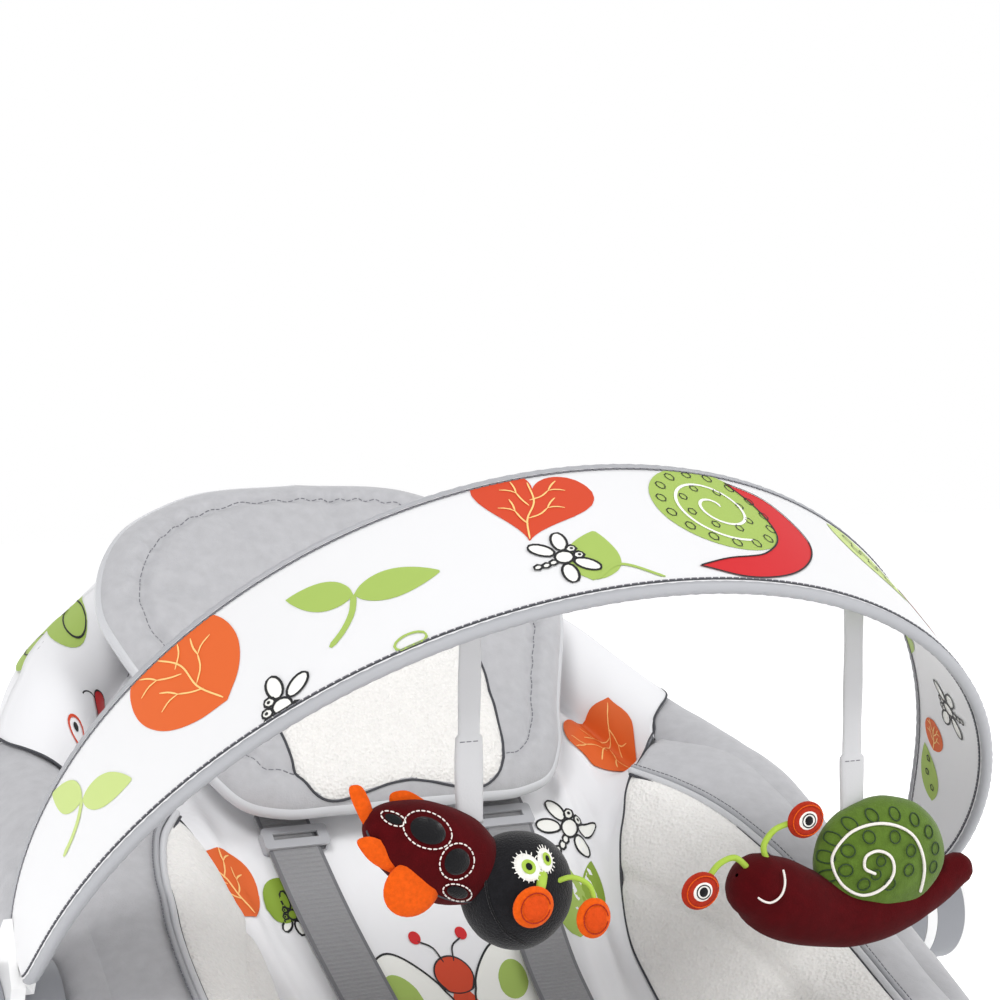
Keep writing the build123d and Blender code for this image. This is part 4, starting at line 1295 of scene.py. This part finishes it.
def free_felt(build, outline, depth_y, slot, thick=3.0, cup=0.0):
    """A loose felt flap in an upright plane, rounded at its edge."""
    outline = np.asarray(outline, float)
    centre = outline.mean(0)

    def bent(a, b):
        return cup * ((a - centre[0]) ** 2 + (b - centre[1]) ** 2) / 100

    for side in (-1, 1):
        def place(a, b, lift, side=side):
            return np.stack([a, depth_y + bent(a, b) + side * np.asarray(lift), b], -1)
        build.patch(outline, place, slot, 3.0, 0.3, puff=thick / 2, rim=2.0)
    x, z = looped(outline).T
    rows = [np.stack([x, depth_y + bent(x, z) + k, z], -1) for k in (-0.3, 0.3)]
    build.grid(np.stack(rows, 1), slot)


# Ladybird's body
body_c, body_axes, TAPER = np.array([-103, LADY_Y, 335.5]), (34, 19, 20), 0.14
lady = Build()


def plump(p, q):
    q = q * (1 + TAPER * p[..., :1] * np.array([0, 1, 1]))
    return q + unit(p) * (0.5 * wobble(q + 50, 12.0, 2.0))[..., None]


lady.blob(body_c, body_axes, 0, 40, 56, -27, plump)
on_body = ellipsoid_place(body_c, (34.5, 19.6, 20.5), -27, TAPER)
for at, size, turn in (((-111.5, 347.5), (7.6, 5.2), -16), ((-100, 334), (5.8, 5.6), 0),
                       ((-124.5, 352.5), (3.2, 1.8), -20), ((-98, 320), (5.5, 2.6), -27)):
    felt(lady, moved(oval(*size), at, turn), on_body, 1, 1.2, stitched=2)
seam_u = np.linspace(-0.96, 0.96, 60)
low_z = -20 * 0.8 * (1 + TAPER * seam_u) * np.sqrt(1 - seam_u ** 2)
tilt = math.radians(-27)
ridge = np.stack([body_c[0] + 34 * seam_u * math.cos(tilt) - low_z * math.sin(tilt),
                  body_c[1] - 19 * 0.6 * (1 + TAPER * seam_u) * np.sqrt(1 - seam_u ** 2),
                  body_c[2] + 34 * seam_u * math.sin(tilt) + low_z * math.cos(tilt)], 1)
# A dark cord along the body's lower seam: painted shade in the seam's groove
lady.tube(ridge, 0.5, 4, 6)
lady = lady.object("ladybird_body_plush", [TOY_RED, FELT_BLACK, THREAD_WHITE, BLACK, SEAM_SHADE])
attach(lady, "ladybird")
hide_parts("ladybird_body")

# Ladybird's felt petals
petals = Build()
free_felt(petals, closed([(-139, 366), (-136, 366), (-131.5, 360), (-129, 352), (-127, 344), (-132, 347),
                          (-136.5, 354)]), LADY_Y + 1, 0, 2.6, 0.2)
free_felt(petals, closed([(-119.5, 360), (-113, 361), (-106, 357.5), (-100, 352), (-109, 347), (-118, 351)]),
          LADY_Y + 5, 0, 2.6, 0.2)
free_felt(petals, closed([(-140.5, 345), (-136, 346), (-130, 344), (-123, 338), (-114, 331), (-120, 328),
                          (-128, 331), (-137, 338)]), LADY_Y - 8, 0, 3.0, -0.3)
free_felt(petals, moved(oval(13.2, 12, 30), (-117, 323), 20), LADY_Y - 12, 0, 3.4, 0.4)
petals = petals.object("ladybird_felt_petals", [FELT_ORANGE])
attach(petals, "ladybird")
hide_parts("ladybird_petals")

# Ladybird's head, with its eyes and cords
head_c, head_axes = np.array([-64.5, LADY_Y - 4, 315.0]), (25, 23, 25.6)
plush = Build()


def furry(p, q):
    return q * (1 + 0.012 * wobble(q + 9, 9.0, 4.0))[..., None]


plush.blob(head_c, head_axes, 0, 44, 60, -18, furry)
on_face = ellipsoid_place(head_c, (25.2, 23.3, 25.8), -18)
cheek = smooth_line([(-77, 337), (-84, 327), (-84, 313), (-78, 302), (-68, 295)], 1.5)
plush.tube(on_face(cheek[:, 0], cheek[:, 1], 0.1), 0.6, 3, 6, up=FRONT)
for at, size in (((-68.5, 329), (5.6, 5.2)), ((-59.5, 331), (3.8, 4.6))):
    felt(plush, moved(oval(*size), at, -30), on_face, 1, 1.1)
    for k in range(18):
        a = k * 2 * math.pi / 18
        ray = [(at[0] + size[0] * f * math.cos(a), at[1] + size[1] * f * math.sin(a))
               for f in (0.85, 1.0, 1.16)]
        plush.stroke(ray, 0.5, on_face, 1, 0.7, 0.8)
    plush.patch(moved(oval(size[0] * 0.52, size[1] * 0.52, 18), at), on_face, 4, 2.0, 1.3, puff=0.3, rim=1.0)
    plush.patch(moved(oval(size[0] * 0.24, size[1] * 0.26, 14), at), on_face, 3, 2.0, 1.75, puff=0.3, rim=0.8)
nub = smooth_line([(-62.5, LADY_Y - 24, 325), (-64.5, LADY_Y - 27, 321), (-66.5, LADY_Y - 28, 317.5)], 1.0)
plush.tube(nub, np.linspace(2.6, 1.7, len(nub)), 4, 10)
cord = smooth_line([(-56, LADY_Y - 22, 321), (-49, LADY_Y - 26, 323.5), (-42, LADY_Y - 28, 320),
                    (-38.5, LADY_Y - 28, 311)], 1.0)
plush.tube(cord, 1.2, 4, 8)
plush = plush.object("ladybird_head_plush", [TOY_BLACK, FELT_WHITE, CORD_GREEN, FELT_BLACK, CORD_GREEN])
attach(plush, "ladybird")
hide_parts("ladybird_head")

# Ladybird's felt discs
discs = Build()
for x, z, y, wide in ((-69, 313.5, LADY_Y - 29, 9.6), (-40, 305.5, LADY_Y - 29, 8.2)):
    free_felt(discs, moved(oval(wide, 8.8, 28), (x, z), 10), y, 0, 4.0, 0.2)
    front_of = upright(y - 2.2)
    discs.patch(moved(oval(wide * 0.62, 5.4, 24), (x, z), 10), front_of, 2, 2.0, 0.1, puff=0.7, rim=1.5)
    ring = moved(oval(wide * 0.72, 6.4, 28), (x, z), 10)
    discs.stitches(front_of(ring[:, 0], ring[:, 1], 0.1), 1, 1.2, 0.7, 0.3, up=FRONT)
discs = discs.object("ladybird_felt_discs", [FELT_ORANGE, FELT_RED, DEEP_FELT])
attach(discs, "ladybird")
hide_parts("ladybird_feelers")

# The snail's body is one stuffed sausage, thick at the head and thin at the raised tail
spine = smooth_line([(67, SNAIL_Y - 1, 300), (76, SNAIL_Y, 295), (88, SNAIL_Y, 289), (104, SNAIL_Y, 284),
                     (128, SNAIL_Y, 281.5), (152, SNAIL_Y, 285), (172, SNAIL_Y, 291.5),
                     (184, SNAIL_Y, 296)], 1.6)
thickness = hermite([0, 0.07, 0.16, 0.32, 0.5, 0.75, 0.93, 1], [15.5, 18, 18.5, 17, 16, 13, 9.5, 8])
radius = thickness(np.linspace(0, 1, len(spine)))
snail_body = Build()
_, side, top = frames(spine)
ring = hoops(side, top, 44)
p = spine[:, None] + radius[:, None, None] * ring


def rounded_end(end, before, reach, angles):
    """The hoops that close the snail's body at one end."""
    out = unit(spine[end] - spine[before])
    return [spine[end] + ring[end] * math.cos(k) * radius[end] + out * math.sin(k) * radius[end] * reach
            for k in angles]


nose = rounded_end(0, 1, 0.9, (1.5, 1.25, 1.0, 0.75, 0.5, 0.25))
tail = rounded_end(-1, -2, 1.0, (0.3, 0.7, 1.1, 1.5))
p = np.concatenate([nose, p, tail])
p = p + unit(p - p.mean(1, keepdims=True)) * (0.5 * wobble(p, 12.0, 6.0))[..., None]
snail_body.grid(p, 0, wrap=True)


on_snout = ellipsoid_place(np.array([76, SNAIL_Y, 297.0]), (23, 18.4, 19))
smile = smooth_line([(60, 298), (61.5, 296.8), (64, 296), (68, 298), (71.5, 304), (72.5, 309)], 1.0)
snail_body.tube(on_snout(smile[:, 0], smile[:, 1], 0.9), 0.55, 1, 6)
snail_body = snail_body.object("snail_body_plush", [TOY_RED, THREAD_WHITE])
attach(snail_body, "snail")
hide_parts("snail_body")

# Snail's shell
shell_c, shell_axes = np.array([135, SNAIL_Y - 3, 308.0]), (36.5, 16.5, 29)


def shell_shape(p, q):
    return q * (1 + 0.03 * wobble(q + 20, 15.0, 8.0))[..., None]


shell = Build()
shell.blob(shell_c, shell_axes, 0, 44, 64, 0, shell_shape)
on_shell = ellipsoid_place(shell_c, (36.5, 17.1, 29))
spiral = smooth_line([(121, 304), (116, 307), (116.5, 312), (122, 314.5), (129.5, 311), (131, 304),
                      (126, 296.5), (117.5, 293.5), (107, 299), (102.5, 311), (110, 322), (127, 326.5),
                      (143, 320),
                      (149.5, 306), (150, 292)], 0.8)
shell.tube(on_shell(spiral[:, 0], spiral[:, 1], 0.4), 0.75, 1, 8, up=FRONT)
# Three rings of stitched circles: how many, their centre, reach and size, and the first one's angle
SHELL_RINGS = [(15, (129.5, 309.5), 29, 21, 2.9, 0.1), (8, (124.5, 309.5), 17.5, 12, 2.9, 0.3),
               (2, (123, 306.5), 3.2, 3.4, 2.4, 1.2)]
BODY_TOP = 296               # the snail's body covers the shell below this height
for count, centre, wide, high, size, start in SHELL_RINGS:
    for k in range(count):
        a = start + k * 2 * math.pi / count
        at = (centre[0] + wide * math.cos(a), centre[1] + high * math.sin(a))
        if at[1] >= BODY_TOP:
            circle = looped(moved(oval(size, size, 18), at))
            shell.tube(on_shell(circle[:, 0], circle[:, 1], 0.25), 0.36, 2, 5, up=FRONT)
shell = shell.object("snail_shell_plush", [TOY_GREEN, THREAD_WHITE, THREAD_DARK])
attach(shell, "snail")
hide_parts("snail_shell")

# Snail's eyes on their stalks
eyes = Build()
for (x, z), stalk in (((90.5, 330), [(71, 311), (68.5, 319), (74, 326), (84, 329)]),
                      ((33, 302.5), [(61, 309), (52, 315.5), (44.5, 313.5), (38, 307)])):
    line = [(a, SNAIL_Y - 4, b) for a, b in stalk]
    eyes.tube(smooth_line(line, 1.2), 1.5, 4, 8)
    y = SNAIL_Y - 6
    free_felt(eyes, moved(oval(10, 8.6, 30), (x, z), 12), y, 0, 4.0, 0.15)
    on_eye = upright(y - 1.9)
    eyes.patch(moved(oval(5.2, 4.4), (x, z), 12), on_eye, 1, 2.0, 0.3, puff=0.7, rim=1.0)
    eyes.patch(moved(oval(2.3, 2.3, 16), (x, z)), on_eye, 2, 2.0, 1.0, puff=0.5, rim=0.8)
    edge = moved(oval(3.6, 3.2, 20), (x, z))
    eyes.tube(on_eye(edge[:, 0], edge[:, 1], 1.0), 0.3, 2, 5, closed=True, up=FRONT)
    hem = moved(oval(8.4, 7.1, 28), (x, z), 12)
    eyes.stitches(on_eye(hem[:, 0], hem[:, 1], 0.25), 3, 1.0, 0.7, 0.3, up=FRONT)
eyes = eyes.object("snail_eyes_felt", [FELT_RED, FELT_WHITE, FELT_BLACK, FELT_ORANGE, CORD_GREEN])
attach(eyes, "snail")
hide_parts("snail_eyes")

# ---- Floor, light and camera ----
floor = Build()
floor.add([(-6000, -6000, 0), (6000, -6000, 0), (6000, 6000, 0), (-6000, 6000, 0)], [[0, 1, 2, 3]])
floor_white = material("floor_white", srgb(240, 240, 240), 0.9)
floor_shader = floor_white.node_tree.nodes["Principled BSDF"]
floor_shader.inputs["Emission Color"].default_value = (1, 1, 1, 1)
floor_shader.inputs["Emission Strength"].default_value = 0.6
floor = floor.object("studio_floor", [floor_white])

world = bpy.data.worlds.new("studio")
world.use_nodes = True
sky = world.node_tree
sky_coords = sky.nodes.new("ShaderNodeTexCoord")
sky_split = sky.nodes.new("ShaderNodeSeparateXYZ")
sky_ramp = sky.nodes.new("ShaderNodeValToRGB")
sky_ramp.color_ramp.elements[0].position = 0.3
sky_ramp.color_ramp.elements[0].color = (1, 1, 1, 1)
sky_ramp.color_ramp.elements[1].position = 0.55
sky_ramp.color_ramp.elements[1].color = (0.4, 0.4, 0.41, 1)
sky.links.new(sky_coords.outputs["Generated"], sky_split.inputs["Vector"])
sky.links.new(sky_split.outputs["Z"], sky_ramp.inputs["Fac"])
sky.links.new(sky_ramp.outputs["Color"], sky.nodes["Background"].inputs["Color"])
sky.nodes["Background"].inputs["Strength"].default_value = 1.0
bpy.context.scene.world = world
bpy.context.scene.view_settings.view_transform = "Standard"


def area_light(name, at, target, size, power):
    light = bpy.data.lights.new(name, "AREA")
    light.shape = "DISK"
    light.size = size
    light.energy = power
    obj = bpy.data.objects.new(name, light)
    obj.location = at
    obj.rotation_euler = (Vector(target) - Vector(at)).to_track_quat("-Z", "Y").to_euler()
    bpy.context.scene.collection.objects.link(obj)


area_light("key", (-1.3, -1.5, 2.4), (0, 0, 0.3), 0.9, 33)
area_light("fill", (1.6, -1.2, 1.9), (0, 0, 0.3), 1.6, 20)
area_light("back", (0.6, 2.2, 2.2), (0, 0, 0.35), 1.6, 14)

camera = bpy.data.cameras.new("camera")
camera.lens = 75.5
camera.sensor_width = 36
camera.clip_start = 0.05
camera_object = bpy.data.objects.new("camera", camera)
CAMERA_AT = (-0.4693, -0.9397, 0.5339)
azimuth, elevation = math.radians(-26.36), math.radians(3.18)
backward = Vector((math.sin(azimuth) * math.cos(elevation), -math.cos(azimuth) * math.cos(elevation),
                   math.sin(elevation)))
camera_object.location = Vector(CAMERA_AT)
camera_object.rotation_euler = (-backward).to_track_quat("-Z", "Y").to_euler()
bpy.context.scene.collection.objects.link(camera_object)
bpy.context.scene.camera = camera_object
